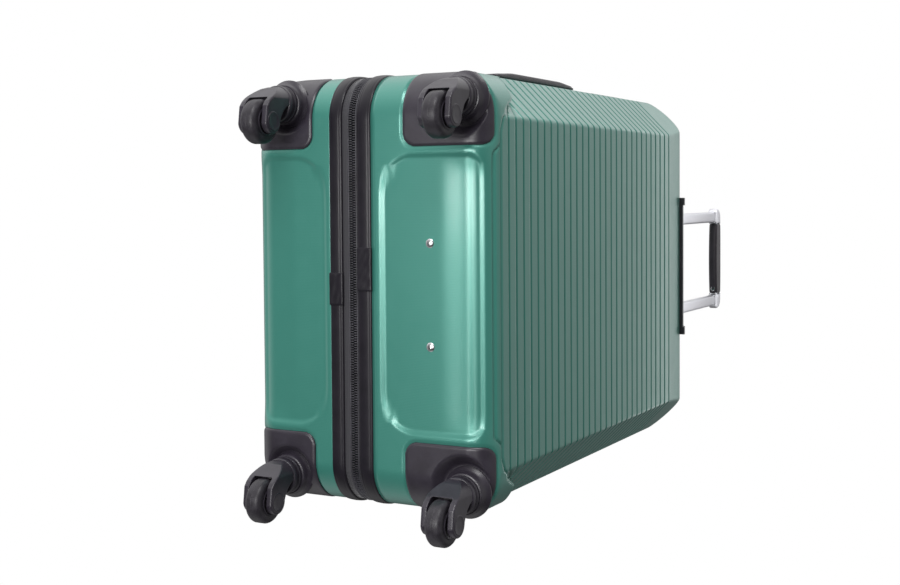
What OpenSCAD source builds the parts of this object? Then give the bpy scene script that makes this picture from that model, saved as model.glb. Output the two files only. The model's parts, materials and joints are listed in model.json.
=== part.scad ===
// Hard shell suitcase on four swivel casters, standing upright.
// X is across the width, +Y the back (trolley side), -Y the lid, Z up from the floor.

/* [Case] */
// Width of the shells
case_w = 440; // [430:5:450]
// Depth over both shells
case_d = 280; // [276:2:290]
// Height of the shells alone
shell_h = 610; // [605:5:615]
// Height of the shells' bottom above the floor
ground_gap = 66; // [66:1:68]
// Wall of the shells
wall = 3.4; // [3:0.2:4]
// Radius of the corners, seen from the front
corner_r = 45; // [40:1:48]
// Radius of the bottom and top edges, seen from the side
edge_r = 28; // [26:1:30]
// Width of the slanted side facets
facet_w = 46; // [42:1:48]
// Depth of the slanted side facets
facet_d = 45; // [42:1:48]
// How far the smooth band above the ribs leans in at the top
top_lean = 6; // [4:1:8]

/* [Ribs] */
// Distance from groove to groove
rib_pitch = 17.15; // [17:0.05:17.2]
// Width of a groove
groove_w = 3; // [2:0.2:4]
// Depth of the grooves and of the sunk bottom panels
groove_deep = 1.7; // [1:0.1:1.9]
// Number of grooves, up to the smooth band
groove_count = 30; // [10:1:30]
// Height of the first groove above the shells' bottom
first_groove = 8; // [6:0.5:10]

/* [Seam] */
// Where the lid's shell ends and its trim starts
lid_edge_y = -41.5; // [-43:0.5:-40]
// Where the lid's trim ends and its zip tape starts
lid_trim_y = -26.3; // [-27:0.1:-26]
// Where the lid's zip tape ends and its teeth start
lid_tape_y = -18.5; // [-19:0.1:-18]
// The plane where the zip's teeth meet, with the lid's hinge axis on it
seam_y = -14.9; // [-15.2:0.1:-14.6]
// Where the back's teeth end and its zip tape starts
back_tape_y = -11.3; // [-11.6:0.1:-11]
// Where the back's zip tape ends and its trim starts
back_trim_y = -8.3; // [-8.6:0.1:-8]
// Where the back's trim ends and its shell starts
back_edge_y = 7.7; // [7:0.1:8.5]
// How far the trims stand proud of the shells
trim_proud = 1.5; // [1:0.1:2]

/* [Casters] */
// Distance of the swivel axes from the middle
swivel_x = 192; // [190:1:193]
// Depth position of the back casters
back_swivel_y = 110; // [108:1:111]
// Depth position of the lid's casters
lid_swivel_y = -96.5; // [-98:0.5:-95]
// Radius of the wheels
wheel_r = 22.5; // [22:0.1:22.6]
// Width of the wheels
wheel_w = 21; // [20:0.5:21]
// How far the wheels trail behind their swivel axes
trail = 19; // [17:0.5:20]
// Radius of the axles
axle_r = 3; // [2.5:0.5:3.5]

/* [Trolley] */
// Distance of the trolley tubes from the middle
tube_x = 62; // [60:0.5:63]
// Depth position of the trolley tubes
tube_y = 114; // [113:0.5:115]
// How far the inner tubes are drawn out
pulled_out = 205; // [200:1:210]
// Width over the grip
grip_w = 149; // [146:1:150]
// Length of the dark sleeve on the grip
sleeve_l = 104; // [96:1:106]

/* [Handles and lock] */
// Length over a carry handle
handle_l = 225; // [215:1:230]
// Depth position of the carry handles
handle_y = 50; // [48:1:52]
// Height of the side handle's middle
handle_z = 355; // [345:1:360]
// Height of the lock's middle
lock_z = 581; // [575:1:585]

/* [Hidden] */

$fn = 48;
far = 1000;                          // longer than anything here
top_z = ground_gap + shell_h;
half_w = case_w / 2;
half_d = case_d / 2;
edge_y = half_d - edge_r;            // centre line of the rounded bottom edge
top_edge_y = edge_y - top_lean;      // centre line of the rounded top edge
band_z = ground_gap + first_groove + groove_count * rib_pitch;
facet_len = norm([facet_w, facet_d]);
facet_nx = facet_d / facet_len;      // the facets' outward direction
facet_ny = facet_w / facet_len;
facet_reach = facet_nx * (half_w - facet_w) + facet_ny * half_d;

GREEN = [0.24, 0.52, 0.47];
BLACK = [0.14, 0.13, 0.15];
DARK = [0.22, 0.22, 0.24];
SILVER = [0.85, 0.85, 0.88];

// ---------- outlines ----------

function arc(x, y, r, from, to, n = 8) =
    [for (i = [0:n]) let (a = from + (to - from) * i / n) [x + r * cos(a), y + r * sin(a)]];

// Front view of the shells, drawn in by d
function front_outline(d) =
    let (x = half_w - corner_r, low = ground_gap + corner_r, high = top_z - corner_r, r = corner_r - d)
    concat(arc(x, low, r, -90, 0), arc(x, high, r, 0, 90), arc(-x, high, r, 90, 180),
        arc(-x, low, r, 180, 270));

// Plan of one half from y = open_y to its face, drawn in by d, with the facets
function facet_plan(d, open_y) =
    let (x = half_w - d, y = half_d - d, reach = facet_reach - d,
        face_x = (reach - facet_ny * y) / facet_nx, side_y = (reach - facet_nx * x) / facet_ny)
    [[-x, open_y], [x, open_y], [x, side_y], [face_x, y], [-face_x, y], [-x, side_y]];

// The same where the lower corners are full and round
function full_plan(d, open_y) =
    let (x = half_w - corner_r, y = half_d - corner_r, r = corner_r - d)
    concat([[-x - r, open_y], [x + r, open_y]], arc(x, y, r, 0, 90), arc(-x, y, r, 90, 180));

// Side view of one half, drawn in by d
function side_outline(d, open_y) =
    concat([[open_y, ground_gap + d]], arc(edge_y, ground_gap + edge_r, edge_r - d, -90, 0),
        [[half_d - d, band_z]], arc(top_edge_y, top_z - edge_r, edge_r - d, 4, 90, 7),
        [[open_y, top_z - d]]);

// Front view of what lies below the facets' slanted lower ends
low_face_h = 35;       // height of the end line on the face
low_mid_h = 78;        // and at the middle of the facet
low_mid_in = 22;
low_side_h = 100;      // and on the side
function low_part(d) =
    let (face_x = half_w - facet_w, mid_x = half_w - low_mid_in, z = ground_gap - d)
    [[-far, 0], [far, 0], [far, z + low_side_h + far - half_w], [mid_x, z + low_mid_h],
        [face_x, z + low_face_h], [-face_x, z + low_face_h], [-mid_x, z + low_mid_h],
        [-far, z + low_side_h + far - half_w]];

module along_x(length) { translate([-length / 2, 0, 0]) rotate([90, 0, 90]) linear_extrude(length) children(); }
module along_y(from, to) { translate([0, to, 0]) rotate([90, 0, 0]) linear_extrude(to - from) children(); }
module box(low, high) { translate(low) cube(high - low); }
module front_half() { mirror([0, 1, 0]) children(); }

// One half of the case as a solid, drawn in by d
module half_solid(d, open_y) {
    intersection() {
        along_y(open_y, far) polygon(front_outline(d));
        union() {
            linear_extrude(far) polygon(facet_plan(d, open_y));
            intersection() {
                linear_extrude(far) polygon(full_plan(d, open_y));
                along_y(open_y, far) polygon(low_part(d));
            }
        }
        along_x(far) polygon(side_outline(d, open_y));
    }
}

// ---------- shells ----------

panel_x = 137;         // half the width of the sunk bottom panel
panel_r = 36;
rib_from_y = half_d - facet_d;

// The grooves and the sunk panel, cut down to the drawn-in half
module relief(panel_y) {
    difference() {
        union() {
            for (i = [0:groove_count - 1])
                box([-far / 2, rib_from_y, ground_gap + first_groove + i * rib_pitch - groove_w / 2],
                    [far / 2, far / 2, ground_gap + first_groove + i * rib_pitch + groove_w / 2]);
            linear_extrude(ground_gap + first_groove) polygon(concat(
                arc(-panel_x + panel_r, panel_y + panel_r, panel_r, 180, 270),
                arc(panel_x - panel_r, panel_y + panel_r, panel_r, 270, 360),
                [[panel_x, half_d + wall], [-panel_x, half_d + wall]]));
        }
        half_solid(groove_deep, -far / 2);
    }
}

// The bottom corners that the caster housings fill
housing_x = 146;       // where a housing starts
housing_z = ground_gap + 50;
housing_r = 14;
module housing_space(inner_y, grow = 0) {
    for (side = [0, 1]) mirror([side, 0, 0]) translate([0, 0, -grow]) linear_extrude(housing_z + grow)
        polygon(concat(arc(housing_x + housing_r, inner_y + housing_r, housing_r, 180, 270),
            [[far / 2, inner_y], [far / 2, far / 2], [housing_x, far / 2]]));
}

module half_shell(open_y, panel_y, housing_y) {
    difference() {
        half_solid(0, open_y);
        half_solid(wall, open_y - 1);
        relief(panel_y);
        housing_space(housing_y);
    }
}

back_housing_y = 44;
lid_housing_y = 62.5;
back_panel_y = 19.4;
lid_panel_y = 48;
slot_gap = 0.5;        // room round what slides through a wall

module back_shell() {
    color(GREEN) difference() {
        half_shell(back_edge_y, back_panel_y, back_housing_y);
        box([-tub_x, tub_y0, tub_z], [tub_x, tub_y1, far]);
        side_place() handle_slots();
        top_place() handle_slots();
        box([half_w - 2 * wall, lock_y - insert_w / 2, lock_z - insert_l / 2],
            [half_w + wall, lock_y + insert_w / 2, lock_z + insert_l / 2]);
        rivet_places() cylinder(r = rivet_r, h = ground_gap + 2 * wall);
    }
}

module front_shell() { color(GREEN) front_half() half_shell(-lid_edge_y, lid_panel_y, lid_housing_y); }

// ---------- seam ----------

// A frame round the case: outside drawn in by d, thick in the plane of the frame
module ring(d, thick, from, to) {
    along_y(from, to) difference() {
        polygon(front_outline(d));
        polygon(front_outline(d + thick));
    }
}
// The stretch of the hinge side that has tape instead of a zip
hinge_inset = 10;
hinge_low = ground_gap + corner_r + hinge_inset;
hinge_high = top_z - corner_r - hinge_inset;
module hinge_stretch() { box([-far, -far, hinge_low], [-half_w + hinge_inset, far, hinge_high]); }

trim_thick = 7;
tape_sunk = 1;
tape_thick = 1.5;
coil_thick = 2.4;
coil_gap = 0.1;        // from the meeting plane to each row of teeth

module back_trim() { color(BLACK) ring(-trim_proud, trim_thick, back_trim_y, back_edge_y); }
module front_trim() { color(BLACK) ring(-trim_proud, trim_thick, lid_edge_y, lid_trim_y); }
module zip_part(d, thick, from, to) {
    color(DARK) difference() {
        ring(d, thick, from, to);
        hinge_stretch();
    }
}
module back_zip_tape() { zip_part(tape_sunk, tape_thick, back_tape_y, back_trim_y); }
module front_zip_tape() { zip_part(tape_sunk, tape_thick, lid_trim_y, lid_tape_y); }
module back_zip_coil() { zip_part(0, coil_thick, seam_y + coil_gap, back_tape_y); }
module front_zip_coil() { zip_part(0, coil_thick, lid_tape_y, seam_y - coil_gap); }
module hinge_tape(from, to) {
    color(DARK) intersection() {
        ring(tape_sunk, tape_thick, from, to);
        hinge_stretch();
    }
}
module hinge_tape_back() { hinge_tape(seam_y + coil_gap, back_trim_y); }
module hinge_tape_front() { hinge_tape(lid_trim_y, seam_y - coil_gap); }

// Clips over the joints of the trims, under the case
clip_thick = 1;
back_clip_x = [2, 46];
lid_clip_x = [-13, 20];
module trim_clip(reach, from_y, to_y) {
    color(BLACK) box([reach[0], from_y, ground_gap - trim_proud - clip_thick],
        [reach[1], to_y, ground_gap - trim_proud]);
}
module back_trim_sleeve() { trim_clip(back_clip_x, back_trim_y, back_edge_y); }
module front_trim_sleeve() { trim_clip(lid_clip_x, lid_edge_y, lid_trim_y); }

// ---------- inside ----------

lining_thick = 1.5;
lining_gap = 0.6;      // from the linings to the shells
lining_inset = 12;
back_lining_y = 99;
back_lining_x = 205;
front_lining_y = 126.5;
front_lining_x = 175;
module lining_panel(y, half_x) {
    intersection() {
        along_y(y, y + lining_thick) polygon(front_outline(lining_inset));
        box([-half_x, 0, 0], [half_x, far, far]);
        half_solid(wall + lining_gap, 0);
    }
}
module back_lining() {
    color(DARK) difference() {
        lining_panel(back_lining_y, back_lining_x);
        box([-tub_x - 2, 0, tub_z - 2], [tub_x + 2, half_d, far]);
    }
}
module front_lining() { color(DARK) front_half() lining_panel(front_lining_y, front_lining_x); }

strap_z = ground_gap + shell_h / 2;
strap_w = 25;
strap_x = 200;
strap_thick = 1.5;
buckle = [56, 5, 34];
buckle_slot = [5, 2.5, 22];
buckle_slot_x = 18;
module packing_straps() {
    color(BLACK) difference() {
        union() {
            box([-strap_x, back_lining_y - strap_thick, strap_z - strap_w / 2],
                [strap_x, back_lining_y, strap_z + strap_w / 2]);
            translate([-buckle.x / 2, back_lining_y - buckle.y, strap_z - buckle.z / 2]) cube(buckle);
        }
        for (side = [-1, 1])
            translate([side * buckle_slot_x, back_lining_y - buckle.y - 1, strap_z - buckle_slot.z / 2])
                cube(buckle_slot);
    }
}

// ---------- casters ----------

turret_r = 19;
turret_z0 = 2 * wheel_r + 4.5;
turret_z1 = 62.7;
dish_z = ground_gap + 8;
boss_r = 21;
boss_z = turret_z1 + 0.5;
pin_r = 4;
fork_w = 36;
wheel_gap_w = wheel_w + 1.6;
hood_r = wheel_r + 4.8;
wheel_gap_r = wheel_r + 1.9;
housing_wall = 4;
housing_proud = 0.8;
dish_floor = 4;

// A housing in the +X, +Y corner
module housing(inner_y, swivel_y, dish_r) {
    color(BLACK) difference() {
        union() {
            difference() {
                intersection() {
                    half_solid(-housing_proud, inner_y);
                    box([0, 0, 0], [far, far, far]);
                    housing_space(inner_y, far);
                }
                intersection() {
                    half_solid(housing_wall, inner_y - 1);
                    box([-1, -1, dish_z + dish_floor], [far, far, far]);
                }
                translate([swivel_x, swivel_y, -1]) cylinder(r = dish_r, h = dish_z + 1, $fn = 96);
            }
            translate([swivel_x, swivel_y, boss_z]) cylinder(r = boss_r, h = dish_z + dish_floor - boss_z);
        }
        translate([swivel_x, swivel_y, 0]) cylinder(r = pin_r, h = far);
    }
}
back_dish_r = 38;
lid_dish_r = 31;
module caster_housing_br() { housing(back_housing_y, back_swivel_y, back_dish_r); }
module caster_housing_bl() { mirror([1, 0, 0]) caster_housing_br(); }
module caster_housing_fr() { front_half() housing(lid_housing_y, -lid_swivel_y, lid_dish_r); }
module caster_housing_fl() { mirror([1, 0, 0]) caster_housing_fr(); }

pin_head_r = 4.7;
pin_head_h = 4;
pin_low = turret_z0 + 1.5;
pin_top = dish_z + dish_floor;
module kingpins(y) {
    color(SILVER) for (side = [-1, 1]) translate([side * swivel_x, y, 0]) {
        translate([0, 0, pin_low]) cylinder(r = pin_r, h = pin_top - pin_low);
        translate([0, 0, pin_top]) cylinder(r = pin_head_r, h = pin_head_h, $fn = 6);
    }
}
module kingpins_back() { kingpins(back_swivel_y); }
module kingpins_front() { kingpins(lid_swivel_y); }

// A fork with its swivel axis on the Z axis, trailing to -X
arm_r = 12.5;
pin_play = 0.06;
module cross_bore(r, width) { rotate([90, 0, 0]) cylinder(r = r, h = width, center = true, $fn = 72); }
module at_axle() { translate([-trail, 0, wheel_r]) children(); }
module fork() {
    color(BLACK) difference() {
        union() {
            translate([0, 0, turret_z0]) cylinder(r = turret_r, h = turret_z1 - turret_z0, $fn = 72);
            at_axle() cross_bore(arm_r, fork_w);
            intersection() {
                at_axle() cross_bore(hood_r, fork_w);
                box([-far, -far, wheel_r + 10], [far, far, far]);
                box([-trail - 14, -far, 0], [far, far, far]);
            }
            along_y(-fork_w / 2, fork_w / 2) polygon([
                [-trail - arm_r, wheel_r], [-trail, wheel_r - arm_r], [-trail + 8, wheel_r - arm_r + 2],
                [13, 44], [16.5, turret_z0], [16.5, turret_z0 + 4], [-10, turret_z0 + 4],
                [-trail - 14, wheel_r + 20], [-trail - 14, wheel_r + 10]]);
        }
        at_axle() cross_bore(wheel_gap_r, wheel_gap_w);
        at_axle() translate([-far / 2, 0, -far / 2]) cube([far, wheel_gap_w, far], center = true);
        at_axle() cross_bore(axle_r, far);
        translate([0, 0, turret_z0 - 3]) cylinder(r = pin_r + pin_play, h = far);
    }
}
cap_r = 10.5;
cap_h = 0.8;
module axle() {
    color(BLACK) at_axle() {
        cross_bore(axle_r, fork_w);
        for (side = [-1, 1]) translate([0, side * (fork_w + cap_h) / 2, 0]) cross_bore(cap_r, cap_h);
    }
}
hub_r = 14;
hub_w = 20.4;
module hub() {
    color(DARK) at_axle() difference() {
        cross_bore(hub_r, hub_w);
        cross_bore(axle_r + pin_play, far);
    }
}
tread_r = 6;           // how far the tread's shoulders fall away
module tyre() {
    color(BLACK) at_axle() rotate([90, 0, 0]) rotate_extrude($fn = 96) polygon(concat(
        [[hub_r, -wheel_w / 2], [wheel_r - tread_r, -wheel_w / 2]],
        arc(wheel_r - tread_r, -wheel_w / 2 + tread_r, tread_r, -75, 0, 6),
        arc(wheel_r - tread_r, wheel_w / 2 - tread_r, tread_r, 0, 75, 6),
        [[wheel_r - tread_r, wheel_w / 2], [hub_r, wheel_w / 2]]));
}
module at_bl() { translate([-swivel_x, back_swivel_y, 0]) children(); }
module at_br() { translate([swivel_x, back_swivel_y, 0]) children(); }
module at_fl() { translate([-swivel_x, lid_swivel_y, 0]) children(); }
module at_fr() { translate([swivel_x, lid_swivel_y, 0]) children(); }

// Feet on the side opposite the side handle
foot_r = 11;
foot_h = 9;
foot_inset_z = 82;
back_feet_y = 62;
lid_feet_y = -88;
module side_feet(y) {
    color(BLACK) for (z = [ground_gap + foot_inset_z, top_z - foot_inset_z])
        translate([-half_w, y, z]) rotate([0, -90, 0]) cylinder(r1 = foot_r, r2 = foot_r - 2, h = foot_h);
}
module side_feet_back() { side_feet(back_feet_y); }
module side_feet_front() { side_feet(lid_feet_y); }

// ---------- trolley ----------

outer_tube = [22, 17, 1.5];          // across, deep, wall
mid_tube = [18.4, 13.4, 1.2];
inner_tube = [15.4, 10.4, 1.2];
mid_low_z = 200;       // where the mid and inner tubes start
inner_low_z = 340;
tub_x = 86;            // the bezel's tub, which passes through the shell's top edge
tub_y0 = 97;
tub_y1 = 130;
tub_z = 644;
pocket_x = 80;
pocket_y0 = 102;
pocket_y1 = 126;
pocket_z = 650;
bezel_x = 92;
bezel_proud = 4.5;
bump_proud = 6.5;
bump_w = 10;
foot_plate_z = ground_gap + wall;
foot_plate_h = 6;
foot_plate_x = 82;
foot_plate_y = [64, 127];
socket_wall = 3;
socket_h = 24;

module tube_places() { for (side = [-1, 1]) translate([side * tube_x, tube_y, 0]) children(); }
module tubes(size, from, to) {
    tube_places() difference() {
        translate([-size.x / 2, -size.y / 2, from]) cube([size.x, size.y, to - from]);
        translate([-size.x / 2 + size.z, -size.y / 2 + size.z, from - 1])
            cube([size.x - 2 * size.z, size.y - 2 * size.z, to - from + 2]);
    }
}
module trolley_outer_tubes() { color(SILVER) tubes(outer_tube, foot_plate_z + foot_plate_h, tub_z); }
module mid_tubes() { color(SILVER) tubes(mid_tube, mid_low_z, pocket_z + 1); }

module edge_roll(r, width) {
    translate([-width / 2, top_edge_y, top_z - edge_r]) rotate([0, 90, 0]) cylinder(r = r, h = width, $fn = 96);
}
module trolley_bezel() {
    color(BLACK) difference() {
        union() {
            difference() {
                union() {
                    intersection() {
                        union() {
                            edge_roll(edge_r + bezel_proud, 2 * bezel_x);
                            for (side = [-1, 1]) translate([side * (bezel_x - bump_w / 2), 0, 0])
                                edge_roll(edge_r + bump_proud, bump_w);
                        }
                        box([-far, top_edge_y, pocket_z], [far, far, far]);
                    }
                    box([-bezel_x, tub_y0 - 9, top_z], [bezel_x, top_edge_y, top_z + bezel_proud]);
                }
                edge_roll(edge_r, far);
                box([-far, 0, 0], [far, top_edge_y + 1, top_z]);
            }
            intersection() {
                box([-tub_x, tub_y0, tub_z], [tub_x, tub_y1, top_z]);
                union() {
                    edge_roll(edge_r + 1, far);
                    box([-far, 0, 0], [far, top_edge_y, top_z]);
                }
            }
        }
        box([-pocket_x, pocket_y0, pocket_z], [pocket_x, pocket_y1, far]);
        tube_places() translate([0, 0, pocket_z]) cube([mid_tube.x + 0.8, mid_tube.y + 0.8, 40], center = true);
    }
}

rivet_r = 2.2;
rivet_x = 51;
rivet_y = 73.2;
module rivet_places() { for (side = [-1, 1]) translate([side * rivet_x, rivet_y, 0]) children(); }
module trolley_foot() {
    color(BLACK) difference() {
        intersection() {
            union() {
                box([-foot_plate_x, foot_plate_y[0], foot_plate_z],
                    [foot_plate_x, foot_plate_y[1], foot_plate_z + foot_plate_h]);
                tube_places()
                    translate([-outer_tube.x / 2 - socket_wall, -outer_tube.y / 2 - socket_wall, foot_plate_z])
                        cube([outer_tube.x + 2 * socket_wall, outer_tube.y + 2 * socket_wall,
                            foot_plate_h + socket_h]);
            }
            half_solid(wall + 0.1, 0);
        }
        tube_places() translate([-outer_tube.x / 2, -outer_tube.y / 2, foot_plate_z + foot_plate_h])
            cube([outer_tube.x, outer_tube.y, socket_h + 1]);
        rivet_places() cylinder(r = rivet_r, h = far);
    }
}
rivet_head_r = 4.6;
module trolley_rivets() {
    head_z = ground_gap + groove_deep;
    color(SILVER) rivet_places() {
        translate([0, 0, head_z - 1.4]) cylinder(r1 = rivet_head_r - 1.6, r2 = rivet_head_r, h = 1.4);
        translate([0, 0, head_z]) cylinder(r = rivet_r, h = foot_plate_z + foot_plate_h - head_z);
        translate([0, 0, foot_plate_z + foot_plate_h]) cylinder(r = rivet_head_r, h = 1.2);
    }
}

grip_top = top_z + 7 + pulled_out;
grip_h = 22;
grip_low = grip_top - grip_h;
grip_deep = 12;
bar_h = 8;
corner_out_r = 14;
leg_drop = 8;          // how far the corners come down over the tubes
bar_up = 6;            // from the grip's underside to its bar
module grip_corner() {
    x0 = sleeve_l / 2;
    x1 = grip_w / 2;
    tube_in = tube_x - inner_tube.x / 2;
    tube_out = tube_x + inner_tube.x / 2;
    along_y(tube_y - grip_deep / 2, tube_y + grip_deep / 2) polygon(concat(
        [[x0, grip_low + 3], [tube_in, grip_low - leg_drop], [tube_out, grip_low - leg_drop], [x1, grip_low + 2]],
        arc(x1 - corner_out_r, grip_top - 1 - corner_out_r, corner_out_r, 0, 90, 6),
        [[x0, grip_top - 1]]));
}
module inner_tubes() {
    color(SILVER) {
        tubes(inner_tube, inner_low_z, grip_low - leg_drop);
        for (side = [0, 1]) mirror([side, 0, 0]) grip_corner();
        box([-sleeve_l / 2, tube_y - bar_h / 2, grip_low + bar_up],
            [sleeve_l / 2, tube_y + bar_h / 2, grip_low + bar_up + bar_h]);
    }
}

button = [36, 8, 6];
button_play = 0.4;
button_proud = 1.5;
sleeve_bulge = 1.5;
screw_x = -45;
screw_r = 3.5;
module grip_sleeve() {
    color(BLACK) difference() {
        along_y(tube_y - grip_deep / 2 - 0.5, tube_y + grip_deep / 2 + 0.5) polygon([
            [-sleeve_l / 2, grip_low + 2], [0, grip_low - sleeve_bulge], [sleeve_l / 2, grip_low + 2],
            [sleeve_l / 2, grip_top - 1], [sleeve_l / 4, grip_top], [-sleeve_l / 4, grip_top],
            [-sleeve_l / 2, grip_top - 1]]);
        box([-sleeve_l, tube_y - bar_h / 2, grip_low + bar_up],
            [sleeve_l, tube_y + bar_h / 2, grip_low + bar_up + bar_h]);
        translate([-button.x / 2 - button_play, tube_y - button.y / 2 - button_play,
            grip_low + bar_up + bar_h])
            cube([button.x + 2 * button_play, button.y + 2 * button_play, far]);
        translate([screw_x, tube_y, grip_low]) cylinder(r = screw_r, h = bar_up);
    }
}
module grip_screw() {
    color(SILVER) translate([screw_x, tube_y, grip_low + 2.4]) cylinder(r = screw_r, h = 3.6);
}
module release_button() {
    color(DARK) translate([-button.x / 2, tube_y - button.y / 2, grip_top + button_proud - button.z]) cube(button);
}

// ---------- carry handles ----------

mount_l = 25;
mount_w = 24;
mount_h = 6;
leg_at = handle_l / 2 - 12;
leg_l = 6;
leg_w = 14;
leg_in = 14;           // how far the legs reach into the case
bar_thick = 6;

// A handle lies along X, on the surface z = 0, and stands out to +Z
module side_place() { translate([half_w, handle_y, handle_z]) rotate([0, 90, 0]) children(); }
module top_place() { translate([0, handle_y, top_z]) children(); }
module handle_slots() {
    for (side = [-1, 1]) translate([side * leg_at, 0, 0])
        cube([leg_l + 2 * slot_gap, leg_w + 2 * slot_gap, 5 * wall], center = true);
}
module handle_mount_pair() {
    difference() {
        for (side = [-1, 1]) translate([side * (handle_l - mount_l) / 2, 0, mount_h / 2])
            cube([mount_l, mount_w, mount_h], center = true);
        handle_slots();
    }
}
module handle_mounts() {
    color(BLACK) {
        side_place() handle_mount_pair();
        top_place() handle_mount_pair();
    }
}
module handle_grip() {
    rise = 2;
    end_x = handle_l / 2 - 4;
    low = mount_h + slot_gap;
    color(BLACK) {
        along_y(-mount_w / 2 + 2, mount_w / 2 - 2) polygon([
            [-end_x, low], [-end_x / 2, low], [0, low + 0.5], [end_x / 2, low], [end_x, low],
            [end_x - 4, low + bar_thick - 1.5], [end_x / 2, low + bar_thick + rise - 1],
            [0, low + bar_thick + rise - 0.5], [-end_x / 2, low + bar_thick + rise - 1],
            [-end_x + 4, low + bar_thick - 1.5]]);
        for (side = [-1, 1]) translate([side * leg_at - leg_l / 2, -leg_w / 2, -leg_in])
            cube([leg_l, leg_w, leg_in + low]);
    }
}
module side_handle_grip() { side_place() handle_grip(); }
module top_handle_grip() { top_place() handle_grip(); }

// ---------- lock ----------

lock_y = 39;
lock_l = 104;
lock_w = 34;
lock_h = 8;
insert_l = 74;
insert_w = 25;
dial_r = 7.5;
dial_w = 6;
dial_pitch = 10;
dial_x = half_w + 3;
dial_z = lock_z - 16;
spindle_r = 1.5;
push_l = 18;
push_w = 16;
push_z = lock_z + 22;
push_play = 0.4;
module lock_body() {
    color(DARK) {
        difference() {
            union() {
                box([half_w, lock_y - lock_w / 2, lock_z - lock_l / 2],
                    [half_w + lock_h, lock_y + lock_w / 2, lock_z + lock_l / 2]);
                box([half_w - 8, lock_y - insert_w / 2, lock_z - insert_l / 2],
                    [half_w, lock_y + insert_w / 2, lock_z + insert_l / 2]);
            }
            box([dial_x - dial_r - 1, lock_y - dial_r - 1, dial_z - 1.5 * dial_pitch],
                [far, lock_y + dial_r + 1, dial_z + 1.5 * dial_pitch]);
            box([half_w - 4, lock_y - push_w / 2 - push_play, push_z - push_l / 2 - push_play],
                [far, lock_y + push_w / 2 + push_play, push_z + push_l / 2 + push_play]);
        }
        translate([dial_x, lock_y, dial_z - 1.5 * dial_pitch]) cylinder(r = spindle_r, h = 3 * dial_pitch);
    }
}
module dial(number) {
    color(SILVER) translate([dial_x, lock_y, dial_z + (number - 2) * dial_pitch - dial_w / 2]) difference() {
        cylinder(r = dial_r, h = dial_w);
        translate([0, 0, -1]) cylinder(r = spindle_r + pin_play, h = dial_w + 2);
    }
}
module lock_button() {
    color(BLACK) box([half_w, lock_y - push_w / 2, push_z - push_l / 2],
        [half_w + lock_h + 1.2, lock_y + push_w / 2, push_z + push_l / 2]);
}

// ---------- zip sliders ----------

slider_l = 24;
slider_w = 13;
slider_h = 3;
slider_clear = 0.4;
slider_x = half_w + slider_clear;
tab_l = 33;
tab_w = 11;
tab_thick = 1.8;
tab_pin_r = 1.2;
tab_hole_r = 2;
tab_hole_in = 6;       // from the tab's free end
tab_x = slider_x + slider_h + 1.6;   // the tabs' hinge axis
tab_y = seam_y + 2;
lower_z = lock_z - 23;
upper_z = lower_z + slider_l + 2;
module slider(z) {
    color(DARK) difference() {
        union() {
            box([slider_x, seam_y - slider_w / 2, z - slider_l / 2],
                [slider_x + slider_h, seam_y + slider_w / 2, z + slider_l / 2]);
            for (end = [-1, 1]) translate([slider_x, tab_y - 2.5, z + end * (tab_w / 2 + 2) - 1.5])
                cube([slider_h + 3.4, 5, 3]);
        }
        translate([tab_x, tab_y, z - far / 2]) cylinder(r = tab_pin_r + pin_play, h = far);
    }
}
module puller(z) {
    color(DARK) {
        translate([tab_x, tab_y, z - tab_w / 2 - 3.5]) cylinder(r = tab_pin_r, h = tab_w + 7);
        difference() {
            box([tab_x - tab_thick / 2, tab_y, z - tab_w / 2],
                [tab_x + tab_thick / 2, tab_y + tab_l, z + tab_w / 2]);
            translate([tab_x, tab_y + tab_l - tab_hole_in, z]) rotate([0, 90, 0])
                cylinder(r = tab_hole_r, h = 10, center = true);
        }
    }
}

back_shell();
back_trim();
back_zip_tape();
back_zip_coil();
back_trim_sleeve();
back_lining();
packing_straps();
trolley_outer_tubes();
trolley_bezel();
trolley_foot();
trolley_rivets();
handle_mounts();
side_feet_back();
lock_body();
hinge_tape_back();
caster_housing_bl();
caster_housing_br();
kingpins_back();
front_shell();
front_trim();
front_zip_tape();
front_zip_coil();
front_trim_sleeve();
front_lining();
side_feet_front();
hinge_tape_front();
caster_housing_fl();
caster_housing_fr();
kingpins_front();
at_bl() fork();  // fork_bl
at_br() fork();  // fork_br
at_fl() fork();  // fork_fl
at_fr() fork();  // fork_fr
at_bl() axle();  // axle_bl
at_br() axle();  // axle_br
at_fl() axle();  // axle_fl
at_fr() axle();  // axle_fr
at_bl() hub();  // hub_bl
at_br() hub();  // hub_br
at_fl() hub();  // hub_fl
at_fr() hub();  // hub_fr
at_bl() tyre();  // tyre_bl
at_br() tyre();  // tyre_br
at_fl() tyre();  // tyre_fl
at_fr() tyre();  // tyre_fr
mid_tubes();
inner_tubes();
grip_sleeve();
grip_screw();
release_button();
side_handle_grip();
top_handle_grip();
dial(1);  // lock_dial_1
dial(2);  // lock_dial_2
dial(3);  // lock_dial_3
lock_button();
slider(lower_z);  // zip_slider_lower
slider(upper_z);  // zip_slider_upper
puller(lower_z);  // zip_puller_lower
puller(upper_z);  // zip_puller_upper
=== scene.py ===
import json
import math

import bmesh
import bpy
import numpy as np
from mathutils import Matrix, Vector

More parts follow.
